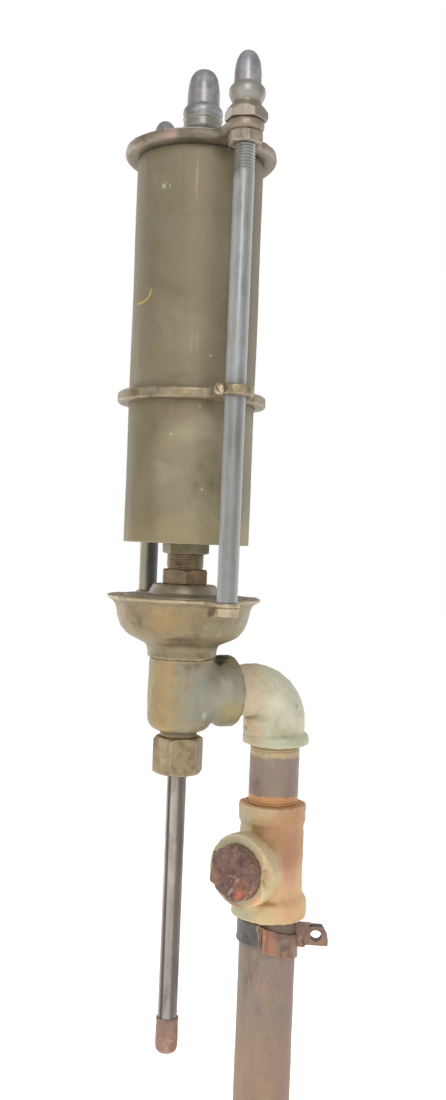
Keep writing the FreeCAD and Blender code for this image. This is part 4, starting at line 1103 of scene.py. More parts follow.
# pieces hidden inside keep their CAD shape and get a finish of their own
for node_name, finish_name in (
        ("bell_gasket", "gasket"), ("centre_stud", "rod_steel"), ("upper_packing", "packing"),
        ("lower_packing", "packing"), ("upper_gland_ring", "nut_brass"),
        ("lower_gland_ring", "nut_brass"), ("piston_head", "nut_brass"),
        ("piston_cup", "leather"), ("piston_plate", "nut_brass"), ("piston_nut", "nut_brass")):
    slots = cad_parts[node_name].data.materials
    slots.clear()
    slots.append(MATERIALS[finish_name])

# ------------------------------------------------------------------ pieces
# Outlines are (radius, height) points; a third entry marks a corner for curve().
cast_fine, cast_broad = Waves(21, 5, 14), Waves(22, 18, 60, 18)
dings = Waves(31, 4, 16, 24)
rod_wave = Waves(41, 30, 120, 12)
iron_fine, iron_broad = Waves(61, 3.5, 11, 30), Waves(62, 14, 45, 18)


def eye_plan(x, y, radius, eye, blend, web):
    """Plan distance of a disc with an eye at each tie rod and a strip out to it."""
    disc = np.hypot(x, y) - radius
    ay = np.abs(y)
    lug = np.hypot(x, ay - ROD_Y) - eye
    strip = np.maximum(np.abs(x) - web, np.maximum(ay - ROD_Y, 40.0 - ay))
    return smin(disc, np.minimum(lug, strip), blend)


# bell tube: drawn tube, very slightly out of true, with a worn lip at the mouth
bell_ripple, bell_dents = Waves(11, 70, 220, 14), Waves(12, 9, 30, 22)


def bell_swell(r, z, t):
    x, y = r * np.cos(t), r * np.sin(t)
    outer = np.clip((r - 49.6) / 0.6, 0, 1)
    return outer * (0.16 * bell_ripple(x, y, z) + 0.035 * bell_dents(x, y, z))


bell_line = (dense([(48.4, 351.0), (48.4, 52.0), (50.2, 43.25)], 6)
             + [(50.35, 43.06), (50.6, 43.0), (50.8, 43.06), (50.97, 43.35)]
             + dense([(BELL_R, 43.9), (BELL_R, 350.6)], 3.2 * COARSE)
             + [(50.85, 350.9), (50.6, 351.0)])
make("bell_tube_skin", shift(lathe(bell_line, int(256 / COARSE), bell_swell, loop=True), WHISTLE),
     "bell_tube", "bell_brass", 40)

# cap: cast disc whose rounded rim runs on round both rod lugs
CAP_R = 61.5
cap_edge = section(curve([
    (-6, 340.0, 1), (46.6, 340.0, 1), (48.2, 341.4, 1), (48.2, 352.0, 1), (57.0, 352.0),
    (59.9, 352.9), (61.2, 354.6), (CAP_R, 356.6), (61.1, 358.9), (60.0, 360.2), (58.4, CAP_TOP),
    (50.0, CAP_TOP, 1), (-6, CAP_TOP, 1)], steps=5), step=0.25, blur=0.35)


def cap(x, y, z):
    rho = eye_plan(x, y, CAP_R, eye=13.9, blend=7.0, web=13.7) + CAP_R
    f = np.maximum(cap_edge(rho, z), 8.1 - np.hypot(x, np.abs(y) - ROD_Y))
    return np.maximum(f, 6.4 - np.hypot(x, y) - np.clip(347.0 - z, 0, 9) * 2)


make("bell_cap_casting", shift(nets(cap, (-64.5, -98.5, 337.5), (64.5, 98.5, 363.5), 1.0,
                                    relief((0.10, cast_fine), (0.22, cast_broad))), WHISTLE),
     "bell_cap", "cap_brass")

# acorns: bullet, bead and neck in one piece with a hexagon foot; heights from the foot
rod_acorn_line = curve([
    (-6, 9.0, 1), (10.6, 9.0, 1), (10.6, 12.6), (10.9, 13.6), (11.6, 15.0), (12.5, 16.6),
    (12.95, 17.5), (13.05, 17.9), (13.3, 18.3), (13.65, 19.9), (13.75, 21.4), (13.4, 23.4),
    (12.6, 24.9), (11.6, 26.0), (10.75, 26.9), (10.35, 27.8), (10.25, 29.0), (10.2, 33.5),
    (10.0, 37.0), (9.7, 40.0), (9.25, 42.6), (8.6, 45.2), (7.5, 47.8), (6.1, 50.0), (4.3, 51.6),
    (2.8, 52.15), (2.2, 52.4), (1.7, 52.8, 1), (-6, 52.8, 1)])
centre_acorn_line = curve([
    (-6, 9.0, 1), (10.6, 9.0, 1), (10.6, 12.6), (11.3, 13.8), (12.0, 15.0), (12.2, 16.8),
    (11.95, 19.2), (12.05, 20.0), (12.55, 20.9), (12.55, 21.7), (11.95, 22.5), (12.05, 23.1),
    (12.5, 24.2), (12.6, 25.3), (12.4, 26.6), (11.9, 27.7), (11.1, 28.5), (10.5, 29.1),
    (10.27, 30.0), (10.23, 32.0), (10.15, 34.8), (10.1, 37.5), (9.9, 40.2), (9.6, 42.6),
    (9.1, 45.2), (8.3, 47.8), (7.0, 50.0), (5.15, 51.7), (2.8, 52.6), (0.6, 52.8, 1),
    (-6, 52.8, 1)])
foot_cone = section([(-6, 0), (15.7, 0), (16.7, 0.9), (16.7, 5.4), (10.3, 12.9), (-6, 12.9)],
                    step=0.2, blur=0.15, pad=5)


def acorn(outline, scale, turn, bore, depth):
    top = section(outline, step=0.2, blur=0.12, pad=5)

    def f(x, y, z):
        x, y, z = x / scale, y / scale, z / scale
        r = np.hypot(x, y)
        foot = smax(hexa(x, y, 14.29, turn), foot_cone(r, z), 0.5)
        body = smin(top(r, z), foot, 0.8)
        return np.maximum(body, np.minimum(bore / scale - r, depth / scale - z)) * scale
    return f


make("rod_acorns_turned", at_rods(
    nets(acorn(rod_acorn_line, scale=1.0, turn=26.0, bore=8.0, depth=36.0),
         (-18.5, -18.5, -1.5), (18.5, 18.5, 54.5), 0.55, relief((0.035, dings))), CAP_TOP),
     "rod_acorns", "acorn_brass")
make("centre_acorn_turned", shift(
    nets(acorn(centre_acorn_line, scale=1.28, turn=14.0, bore=6.45, depth=34.0),
         (-23.5, -23.5, -1.5), (23.5, 23.5, 69.5), 0.7, relief((0.04, dings))),
    (WHISTLE_X, 0, RIM_Z + CAP_TOP)), "centre_acorn", "acorn_brass")

# tie rods: drawn bar, coarse thread at the top, shouldered stud at the bottom
rod_thread = thread(2.31, 0.95, 322.5, 399.0)


def rod_swell(r, z, t):
    x, y = r * np.cos(t), r * np.sin(t)
    return rod_thread(r, z, t) * (r > 6.5) + 0.03 * rod_wave(x, y, z) * (z < 322)


rod_line = ([(0, -10.8), (4.1, -10.8), (4.6, -10.4)] + dense([(4.72, -10.1), (4.72, -0.05)], 1.2)
            + [(5.6, 0.0), (7.3, 0.0), (7.75, 0.15), (7.92, 0.5)]
            + dense([(ROD_R, 1.0), (ROD_R, 321.5)], 5)
            + dense([(ROD_R, 322.0), (ROD_R, 392.0)], 0.26 * COARSE) + [(7.2, 393.0), (0, 393.0)])
make("tie_rods_drawn", at_rods(lathe(rod_line, 72, rod_swell)), "tie_rods", "rod_steel", 42)


def hex_nut(corner, low, high, bore, turn, chamfer, rounding=0.55, cavity=None):
    """Hexagon nut with turned corners, `corner` from centre to corner.

    `cavity` is a wider bore (radius, its inner end, side): side +1 opens at the top, -1 below.
    """
    flat = corner * 0.8660254
    lens = section([(-6, low), (flat - 0.25, low), (corner + 0.4, low + chamfer),
                    (corner + 0.4, high - chamfer), (flat - 0.25, high), (-6, high)],
                   step=0.2, blur=0.18)

    def f(x, y, z):
        r = np.hypot(x, y)
        g = np.maximum(smax(hexa(x, y, flat, turn), lens(r, z), rounding), bore - r)
        if cavity:
            radius, level, side = cavity
            g = np.maximum(g, np.minimum(radius - r, (z - level) * side))
        return g
    return f


def nut_shape(step, corner, low, high, **more):
    c = corner + 1.6
    return nets(hex_nut(corner, low, high, **more), (-c, -c, low - 1.5), (c, c, high + 1.5), step,
                relief((0.03, dings)))


make("lug_nuts_worn", at_rods(nut_shape(0.5, 13.74, 343.0, 352.0, bore=ROD_R + FIT, turn=15.0,
                                        chamfer=1.3)), "lug_nuts", "lug_nut_brass")
make("bowl_lug_nuts_worn", at_rods(nut_shape(0.4, 9.18, -10.4, -3.4, bore=4.81, turn=19.0,
                                             chamfer=0.9, rounding=0.4)),
     "bowl_lug_nuts", "bowl_nut_brass")

# ring round the bell, an eye at each rod
RING_R, RING_BORE_R = 60.1, 51.1
ring_edge = section([(RING_BORE_R, 155.0), (58.9, 155.0), (RING_R, 156.1), (RING_R, 162.5),
                     (58.9, 163.6), (RING_BORE_R, 163.6)], step=0.2, blur=0.22)


def ring(x, y, z):
    rho = eye_plan(x, y, RING_R, eye=14.0, blend=5.0, web=11.0) + RING_R
    f = np.maximum(ring_edge(np.maximum(rho, 55.0), z), RING_BORE_R - np.hypot(x, y))
    dx, dy = x, np.abs(y) - ROD_Y
    f = np.maximum(f, 8.06 - np.hypot(dx, dy))
    # tapped hole for the set screw
    sin, cos = math.sin(SCREW_TURN), math.cos(SCREW_TURN)
    across = np.hypot(dx * -sin + dy * -cos, z - SCREW_Z)
    return np.maximum(f, np.minimum(2.45 - across, dx * cos - dy * sin))


make("bell_ring_casting", shift(nets(ring, (-63, -99, 153), (63, 99, 165.6), 0.85,
                                     relief((0.09, cast_fine), (0.10, cast_broad))), WHISTLE),
     "bell_ring", "ring_brass")

# set screws: slotted head, built upright and then laid over
screw_line = section([
    (-5, 8.1), (1.6, 8.1), (2.4, 8.9), (2.4, 14.05), (4.6, 14.05), (4.9, 14.7), (4.75, 16.3),
    (4.0, 17.4), (2.6, 18.05), (-5, 18.25)], step=0.12, blur=0.12, pad=4)


def set_screw(x, y, z):
    a = math.radians(-38)
    slot = np.maximum(np.abs(x * math.cos(a) + y * math.sin(a)) - 0.62, 16.5 - z)
    return np.maximum(screw_line(np.hypot(x, y), z), -slot)


screw_way = Vector((math.cos(SCREW_TURN), math.sin(SCREW_TURN), 0))
screw_aim = Vector((0, 0, 1)).rotation_difference(screw_way).to_matrix()
make("ring_set_screws_slotted",
     at_rods(rotate(nets(set_screw, (-6, -6, 7), (6, 6, 19.5), 0.3), screw_aim), SCREW_Z),
     "ring_set_screws", "screw_steel")

# bowl: cast cup with a rolled rim, a thin lug at each rod and a hub on three ribs inside
bowl_cup = section(curve([
    (51.4, -6.0, 1), (51.4, -0.5, 1), (51.9, 0.0, 1), (61.4, 0.0), (62.4, -0.45), (62.55, -1.3),
    (62.0, -2.3), (60.6, -3.3), (58.4, -4.6), (56.6, -6.6), (55.3, -9.6), (54.5, -12.8),
    (53.8, -16.2), (52.7, -19.8), (50.9, -24.2), (48.6, -27.8), (45.4, -31.0), (41.0, -33.9),
    (36.6, -36.0), (32.4, -37.9), (30.0, -39.8), (28.9, -42.2), (28.4, -44.5), (28.3, -48.5),
    (27.9, -50.0, 1), (24.05, -50.0, 1), (24.05, -37.5, 1), (20.5, -37.5, 1), (20.5, -34.0, 1),
    (31.0, -31.0), (39.0, -28.0), (44.0, -24.0), (47.4, -19.0), (49.0, -13.0)], steps=4),
    blur=0.22)
bowl_hub = section([(12.95, -30.0), (17.5, -30.0), (19.5, -27.0), (19.5, -4.0), (12.95, -4.0)],
                   pad=5)


def bowl(x, y, z):
    r, ax, ay = np.hypot(x, y), np.abs(x), np.abs(y)
    rod = np.hypot(x, ay - ROD_Y)
    plan = np.minimum(rod - 10.0, np.maximum(ax - 10.0, np.maximum(ay - ROD_Y, 55.0 - ay)))
    lug = smax(plan, np.abs(z + 1.7) - 1.7, 0.9)
    reach = ay - 72.0 - np.clip(z + 7, -5, 5)
    web = smax(np.maximum(ax - 3.6, np.maximum(52.0 - ay, reach)), np.abs(z + 7.0) - 5.0, 0.8)
    f = smin(bowl_cup(r, z), smin(lug, web, 1.2), 2.6)
    f = np.maximum(f, np.minimum(51.4 - r, z + 5.8))      # keeps the steam slot open
    inner = bowl_hub(r, z)
    for i in range(3):
        a = math.radians(30 + 120 * i)
        along = x * math.cos(a) + y * math.sin(a)
        across = -x * math.sin(a) + y * math.cos(a)
        length_height = np.maximum(np.abs(along - 31.5) - 15.0, np.abs(z + 19.2) - 7.2)
        inner = smin(inner, np.maximum(np.abs(across) - 2.2, length_height), 2.0)
    return np.maximum(np.minimum(f, inner), 4.88 - rod)


make("whistle_bowl_casting", shift(nets(bowl, (-65.5, -95.0, -52.5), (65.5, 95.0, 2.6), 1.05,
                                        relief((0.11, cast_fine), (0.22, cast_broad))), WHISTLE),
     "whistle_bowl", "cast_brass")

# languid plate, stepped up to its hub
languid_line = curve([
    (12.95, 9.8, 1), (12.95, -4.0, 1), (47.3, -4.0, 1), (50.3, -2.0, 1), (50.3, 0.1), (50.1, 0.7),
    (49.4, 1.0, 1), (40.0, 1.3), (31.6, 1.7), (30.0, 2.2), (28.9, 3.2, 1), (27.6, 6.0),
    (25.4, 9.3), (24.4, 9.8, 1)], steps=5)
make("languid_plate_turned", shift(lathe(
    languid_line, int(200 / COARSE),
    lambda r, z, t: 0.05 * cast_broad(r * np.cos(t), r * np.sin(t), z), loop=True), WHISTLE),
     "languid_plate", "languid_brass", 38)

# upper gland: hexagon collar and threaded sleeve, hexagon gland nut over it
ROD_BORE_R = 8.12           # clearance for the piston rod
sleeve = section([
    (ROD_BORE_R, -26.0), (12.2, -26.0), (12.9, -25.2), (12.9, 9.8), (16.8, 9.8), (16.8, 22.0),
    (14.3, 22.2), (14.3, 23.8), (15.1, 24.4), (15.1, 45.0), (14.4, 46.0), (11.95, 46.0),
    (11.95, 31.0), (ROD_BORE_R, 31.0)], step=0.2, blur=0.1, pad=5)
collar = hex_nut(20.4, 9.8, 22.0, bore=12.0, turn=9.0, chamfer=1.5, rounding=0.6)


def gland(x, y, z):
    r = np.hypot(x, y)
    phase = (z / 1.81 - np.arctan2(y, x) / (2 * np.pi)) % 1.0
    tooth = np.clip(np.abs(phase - 0.5) * 2.4 - 0.1, 0, 1)
    tooth = tooth * np.clip((z - 24.0) / 0.8, 0, 1) * np.clip((r - 13.0) / 0.8, 0, 1)
    return np.minimum(sleeve(r, z) + 0.62 * tooth, collar(x, y, z))


make("gland_body_machined", shift(nets(gland, (-21.8, -21.8, -27.5), (21.8, 21.8, 47.5), 0.5,
                                       relief((0.035, dings))), WHISTLE),
     "gland_body", "gland_brass")
make("gland_nut_machined", shift(nut_shape(
    0.6, 19.4, 34.5, 53.0, bore=ROD_BORE_R, turn=27.0, chamfer=1.3, cavity=(15.15, 47.0, -1)),
    WHISTLE), "gland_nut", "gland_nut_brass")

# whistle body: barrel with a rounded foot, side branch towards +X grown out of it
barrel = section(curve([
    (-6, -112.6, 1), (-5.9, -116.0, 1), (11.95, -118.0, 1), (11.95, -134.0, 1), (13.6, -134.0, 1),
    (14.3, -133.2, 1), (14.3, -114.0, 1), (15.2, -114.0, 1), (15.2, -109.9, 1), (16.2, -109.5),
    (19.2, -108.9), (22.6, -107.1), (24.9, -104.4), (26.0, -101.0), (26.3, -97.0), (26.5, -80.0),
    (26.5, -62.0), (26.5, -52.0), (26.1, -50.0, 1), (24.0, -50.0, 1), (24.0, -38.0, 1),
    (-6, -38.0, 1)], steps=4), step=0.25, blur=0.18)
# radius about the branch axis, distance out from the whistle axis
branch = section(curve([
    (-6, 10.0, 1), (24.2, 10.0, 1), (24.4, 18.0), (24.9, 24.0), (26.0, 27.6), (27.6, 30.6),
    (29.0, 32.9), (29.6, 35.4), (29.6, 43.2), (29.2, 44.7), (27.6, 45.2, 1), (-6, 45.2, 1)],
    steps=5), step=0.25, blur=0.2)
chamber = section([(-6, -98.0), (17.0, -98.0), (20.5, -94.0), (20.5, -30.0), (-6, -30.0)])


def whistle_body(x, y, z):
    r = np.hypot(x, y)
    rb = np.hypot(y, z - BRANCH_Z)
    f = smin(barrel(r, z), np.maximum(branch(rb, x), 8.0 - x), 6.0)
    f = np.maximum(f, -chamber(r, z))
    f = np.maximum(f, -np.maximum(rb - WATERWAY_R, -x))
    f = np.maximum(f, -np.maximum(rb - NIPPLE_SOCKET_R, 27.2 - x))
    return np.maximum(f, 8.36 - r)


make("whistle_body_casting", shift(nets(whistle_body, (-29, -32, -136.5), (47.5, 32, -36.0), 0.9,
                                        relief((0.09, cast_fine), (0.16, cast_broad))), WHISTLE),
     "whistle_body", "body_brass")
make("packing_nut_machined", shift(nut_shape(
    0.6, 21.1, -144.5, -114.5, bore=ROD_BORE_R, turn=-9.0, chamfer=2.1, rounding=0.7,
    cavity=(14.35, -137.0, 1)), WHISTLE), "packing_nut", "nut_brass")

# piston rod and the cap on its lower end
piston_thread = thread(2.0, 0.7, 70.0, 90.0)


def piston_swell(r, z, t):
    x, y = r * np.cos(t), r * np.sin(t)
    return piston_thread(r, z, t) * (z > 60) * (r > 4) + 0.015 * rod_wave(x, y, z)


piston_line = ([(0, -369.0), (7.3, -369.0), (7.88, -368.4)]
               + dense([(7.9, -368.0), (7.9, 53.3)], 4) + [(7.7, 53.5), (6.36, 53.5)]
               + dense([(6.35, 53.6), (6.35, 84.7)], 0.3) + [(5.55, 85.5), (0, 85.5)])
make("piston_rod_drawn", shift(lathe(piston_line, 72, piston_swell), WHISTLE),
     "piston_rod", "piston_steel", 42, body="piston")

end_cap_rust = Waves(51, 2.4, 8, 30)
end_cap_line = curve([
    (0, -374.0, 1), (4.6, -374.0), (6.8, -373.4), (8.2, -371.9), (8.9, -369.8), (9.15, -367.0),
    (9.2, -361.0), (9.15, -355.0), (8.8, -350.6), (8.8, -349.2), (9.15, -348.2), (9.2, -346.6),
    (8.9, -345.3), (8.3, -345.0, 1), (8.0, -345.0, 1), (7.95, -369.0, 1), (0, -369.0, 1)], steps=5)


def end_cap_swell(r, z, t):
    """Rust on the outside only."""
    rust = 0.10 * end_cap_rust(r * np.cos(t), r * np.sin(t), z)
    return rust * np.clip((r - 6) / 2, 0, 1) * np.clip((9.3 - r) * 2, 0, 1)


# the last three points are the bore, which is left undivided
make("rod_end_cap_worn", shift(lathe(dense(end_cap_line[:-3], 1.0) + list(end_cap_line[-3:]), 96,
                                     end_cap_swell), WHISTLE),
     "rod_end_cap", "end_cap_rust", 42, body="piston")

# street elbow: quarter bend, rolled bead round the socket, plain shank into the branch.
# Its origin is where the two legs' axes meet; the shank runs to -X and the socket opens down.
SHANK_R, SOCKET_R, BEND_R = 21.9, 24.1, 25.0
shank = section(curve([
    (-6, 18.0, 1), (SHANK_R, 18.0, 1), (21.8, 28.0), (21.5, 33.0), (21.2, 38.0), (21.0, 42.0, 1),
    (21.0, 61.3, 1), (20.0, 62.3, 1), (-6, 62.3, 1)], steps=5), step=0.25, blur=0.15)
elbow_bead = section(curve([
    (-6, -45.6, 1), (27.0, -45.6, 1), (28.0, -44.8), (28.3, -43.4), (28.3, -40.2), (27.9, -38.4),
    (26.9, -37.2), (25.3, -36.2), (24.0, -35.0), (22.4, -31.0), (20.0, -28.0, 1), (-6, -28.0, 1)],
    steps=5), step=0.25, blur=0.15)


def elbow(x, y, z):
    rx, rz = np.hypot(y, z), np.hypot(x, y)
    cx, cz = x + BEND_R, z + BEND_R
    in_bend = (cx > 0) & (cz > 0)
    tube = np.hypot(np.hypot(np.maximum(cx, 0), np.maximum(cz, 0)) - BEND_R, y)
    turn = np.arctan2(np.maximum(cx, 0), np.maximum(cz, 1e-6)) / (math.pi / 2)
    turn = np.clip(turn, 0, 1)
    # grows from the shank to the socket
    fat = np.where(cz > 0, SHANK_R + 2.2 * turn * turn * (3 - 2 * turn), SOCKET_R)
    legs = np.where(cx <= 0, np.maximum(rx - SHANK_R, -cx - 4), np.maximum(rz - fat, -cz - 12))
    bend = np.where(in_bend, tube - fat, legs)
    way = np.where(in_bend, tube - WATERWAY_R,
                   np.where(cx <= 0, rx - WATERWAY_R, rz - WATERWAY_R))
    f = smin(bend, np.maximum(shank(rx, -x), x + 10), 1.2)
    f = smin(f, np.maximum(elbow_bead(rz, z), z + 12), 1.2)
    # filled in at the throat of the bend
    throat = np.hypot(x + 7.0, y) - 22.0 + 0.8 * np.clip(z + 24.5, 0, 12)
    f = smin(f, np.maximum(throat, np.abs(z + 28.0) - 9.0), 1.8)
    f = np.maximum(f, -way)
    return np.maximum(f, -np.maximum(rz - NIPPLE_SOCKET_R, z + 27.6))


make("pipe_elbow_casting", shift(nets(elbow, (-63.5, -29.5, -51.5), (27.0, 29.5, 27.0), 0.9,
                                      relief((0.144, iron_fine), (0.216, iron_broad))),
                                 (0, 0, RIM_Z + BRANCH_Z)), "pipe_elbow", "galvanised_iron")

# nipple: threads run out just below the elbow and just above the tee
nipple_wave = Waves(71, 6, 30, 24)
nipple_threads = [thread(PIPE_PITCH, 0.75, low, high, fade=3.5)
                  for low, high in ((-131.0, -100.0), (-200.0, -169.0))]


def nipple_swell(r, z, t):
    x, y = r * np.cos(t), r * np.sin(t)
    cut = nipple_threads[0](r, z, t) + nipple_threads[1](r, z, t)
    return (r > 20) * (cut + 0.06 * nipple_wave(x, y, z))


nipple_line = (dense([(WATERWAY_R, -106.3), (WATERWAY_R, -192.1)], 4) + [(20.9, -192.1)]
               + dense([(NIPPLE_R, -191.8), (NIPPLE_R, -167.5)], 0.3 * COARSE)
               + dense([(NIPPLE_R, -166.5), (NIPPLE_R, -132.5)], 1.4)
               + dense([(NIPPLE_R, -132.0), (NIPPLE_R, -106.6)], 0.3 * COARSE) + [(20.9, -106.3)])
make("pipe_nipple_threaded",
     shift(lathe(nipple_line, int(144 / COARSE), nipple_swell, loop=True), PIPE),
     "pipe_nipple", "nipple_steel", 42)

# tee: run with a rolled bead at each mouth, branch towards the camera and to its left
tee_run = section(curve([
    (-6, -270.0, 1), (30.3, -270.0, 1), (31.6, -269.0), (31.9, -267.0), (31.9, -257.5),
    (31.5, -255.4), (30.2, -253.2), (28.6, -251.2), (27.6, -248.6), (27.4, -244.0),
    (27.4, -210.0), (27.3, -199.0), (27.0, -193.0), (27.1, -191.0), (27.9, -189.4),
    (28.4, -187.6), (28.4, -176.8), (28.1, -175.3), (26.9, -174.5, 1), (-6, -174.5, 1)], steps=5),
    step=0.25, blur=0.2)
# radius about the branch axis, distance out from the pipe axis
tee_branch = section(curve([
    (-6, 0.0, 1), (27.4, 0.0, 1), (27.4, 26.4), (27.7, 28.6), (28.6, 30.4), (29.6, 31.6),
    (30.3, 33.6), (30.3, 43.4), (30.0, 45.0), (28.9, 45.8, 1), (-6, 45.8, 1)], steps=5),
    step=0.25, blur=0.2)


def tee(x, y, z):
    r = np.hypot(x, y)
    along = x * math.cos(TEE_TURN) + y * math.sin(TEE_TURN)
    across = -x * math.sin(TEE_TURN) + y * math.cos(TEE_TURN)
    rb = np.hypot(across, z - TEE_Z)
    f = smin(tee_run(r, z), np.maximum(tee_branch(rb, along), 2.0 - along), 7.0)
    f = np.maximum(f, -(r - WATERWAY_R))
    f = np.maximum(f, -np.maximum(rb - 19.0, -along))
    f = np.maximum(f, -np.maximum(r - (PIPE_R + FIT), z + 252.0))
    f = np.maximum(f, -np.maximum(r - NIPPLE_SOCKET_R, -192.5 - z))
    return np.maximum(f, -np.maximum(rb - 22.45, 27.8 - along))


make("pipe_tee_casting", shift(nets(tee, (-61, -42, -271.5), (33.5, 34, -173.0), 1.0,
                                    relief((0.16, iron_fine), (0.24, iron_broad))), PIPE),
     "pipe_tee", "stained_iron")

# plug: lumpy with rust, a bent V ridge across its face, flakes at the edge
plug_fine, plug_broad = Waves(81, 4.0, 10.0, 40), Waves(82, 10, 26, 24)
# start, end, start radius, end radius, blend; points are (out, right, up)
PLUG_LUMPS = (
    ((55.0, 7.2, -2.6), (54.6, -3.2, -18.0), 1.5, 2.2, 1.0),
    ((55.0, 7.2, -2.6), (55.2, -1.6, -1.2), 1.3, 1.9, 1.0),
    ((54.8, -1.6, -1.2), (54.8, -6.0, -8.0), 1.0, 1.2, 1.4),
    ((53.4, -18.2, -3.0), (53.8, -18.4, -8.6), 2.0, 2.9, 1.6),
    ((53.0, -19.4, 9.5), (53.2, -19.9, 13.0), 1.6, 1.4, 1.6),
    ((54.6, 8.0, -6.0), (54.6, 12.0, -11.0), 1.6, 2.4, 2.2))
PLUG_DENTS = (
    ((56.6, 3.0, 13.5), (56.4, 9.0, 16.5), 2.2, 1.6, 1.0),
    ((56.8, 9.5, 0.0), (56.8, 11.5, -4.0), 2.0, 1.4, 1.0))


def plug(u, v, w):
    """u runs out of the branch, v to the camera's right, w up."""
    groove = np.clip(np.abs(((u / 2.2) % 1.0) - 0.5) * 2 - 0.3, 0, 1) * 1.15
    groove = groove * np.clip(u - 45.4, 0, 1) * np.clip((54.0 - u) / 1.5, 0, 1)
    f = smax(np.hypot(v, w) - 22.35 + groove, np.abs(u - 42.6) - 12.5, 1.8)
    for *bar, blend in PLUG_LUMPS:
        f = smin(f, segment(u, v, w, *bar), blend)
    for *bar, blend in PLUG_DENTS:
        f = smax(f, -segment(u, v, w, *bar), blend)
    return f


def plug_skin(u, v, w):
    face = np.clip((u - 46.5) / 4.0, 0.12, 1)
    return face * (0.42 * plug_fine(u, v, w) + 0.45 * plug_broad(u, v, w)) + 0.05


plug_shape = nets(plug, (28.5, -26.0, -26.0), (60.5, 26.0, 26.0), 0.65, plug_skin, pulls=4)
make("tee_plug_rusted", shift(rotate(plug_shape, Matrix.Rotation(TEE_TURN, 3, "Z")),
                              (0, 0, RIM_Z + TEE_Z)), "tee_plug", "rusty_iron")

# supply pipe: welded pipe, tapered thread at its foot
pipe_wave, pipe_broad = Waves(91, 8, 40), Waves(92, 40, 160, 12)
pipe_thread = thread(PIPE_PITCH, 0.85, -482.0, -459.0, fade=2.6)


def pipe_swell(r, z, t):
    x, y = r * np.cos(t), r * np.sin(t)
    scale = 0.07 * pipe_wave(x, y, z) + 0.12 * pipe_broad(x, y, z)
    return (r > 22.5) * (pipe_thread(r, z, t) + scale * (z > -459))


pipe_line = ([(20.45, -252.4)] + dense([(20.45, -254.0), (20.45, -479.6)], 8)
             + [(20.7, -480.0), (23.0, -480.0)]
             + dense([(23.3, -479.7), (23.75, -458.5)], 0.3 * COARSE)
             + dense([(PIPE_R, -457.5), (PIPE_R, -253.0)], 2.6 * COARSE) + [(23.9, -252.4)])
make("supply_pipe_scaled", shift(lathe(pipe_line, int(160 / COARSE), pipe_swell, loop=True), PIPE),
     "supply_pipe", "pipe_steel", 40)

# pipe clamp: a strap round the far side and a slanting one facing the camera, both with ears
EAR_TURN = math.radians(332.0)
EAR_OFFSET, EAR_THICK = 4.1, 2.2
ARC_PER_DEGREE = math.radians(1.0) * 25.3       # millimetres along a strap
clamp_skin = relief((0.16, Waves(95, 10, 34)), (0.07, Waves(96, 3, 9)))


def clamp_frame(x, y):
    """Radius, polar angle in degrees, distance out along the ears and sideways from their line."""
    return (np.hypot(x, y), np.degrees(np.arctan2(y, x)) % 360.0,
            x * math.cos(EAR_TURN) + y * math.sin(EAR_TURN),
            -x * math.sin(EAR_TURN) + y * math.cos(EAR_TURN))


def ear_plate(out, across, z, middle):
    """Flat ear with its upper outer corner cut off and the bolt hole through it."""
    f = np.maximum(np.abs(across - middle) - EAR_THICK * 0.5, np.maximum(24.6 - out, out - 51.3))
    f = smax(f, np.maximum(z + 278.1, -293.9 - z), 0.7)
    f = smax(f, ((out - 49.0) * 0.86 + (z + 283.4) * 0.51) - 0.4, 0.8)
    hole = np.hypot(out - 41.0, z + 285.5) - 4.85
    return smax(f, -hole, 0.35)


def back_strap(x, y, z):
    r, t, out, across = clamp_frame(x, y)
    sweep = (t - 335.0) % 360.0                      # 0 at the ear, 253 at the free end
    arc = np.maximum(-sweep, sweep - 253.0)
    arc = np.where(sweep > 307.0, 360.0 - sweep, arc) * ARC_PER_DEGREE
    lift = 1.9 * np.clip((sweep - 238.0) / 14.0, 0, 1)**2
    bead = 0.55 * np.exp(-((z + 273.4) / 1.2)**2) + 0.55 * np.exp(-((z + 289.9) / 1.2)**2)
    dimple = 1.0 * np.exp(-(((t - 201.7) * 0.45)**2 + (z + 283.5)**2) / 5.0)
    middle = 25.35 + lift + bead * 0.7 - dimple * 0.7
    f = smax(np.abs(r - middle) - 1.05, np.abs(z + 281.6) - 9.95, 0.5)
    f = smax(f, arc, 0.5)
    ear = ear_plate(out, across, z, EAR_OFFSET)
    return np.maximum(smin(f, ear, 2.2), -(r - STRAP_BORE_R))


make("clamp_band_bent", shift(nets(back_strap, (-31.5, -31.5, -293.2), (52.5, 31.5, -270.0), 0.6,
                                   clamp_skin), PIPE), "clamp_band", "clamp_dark")


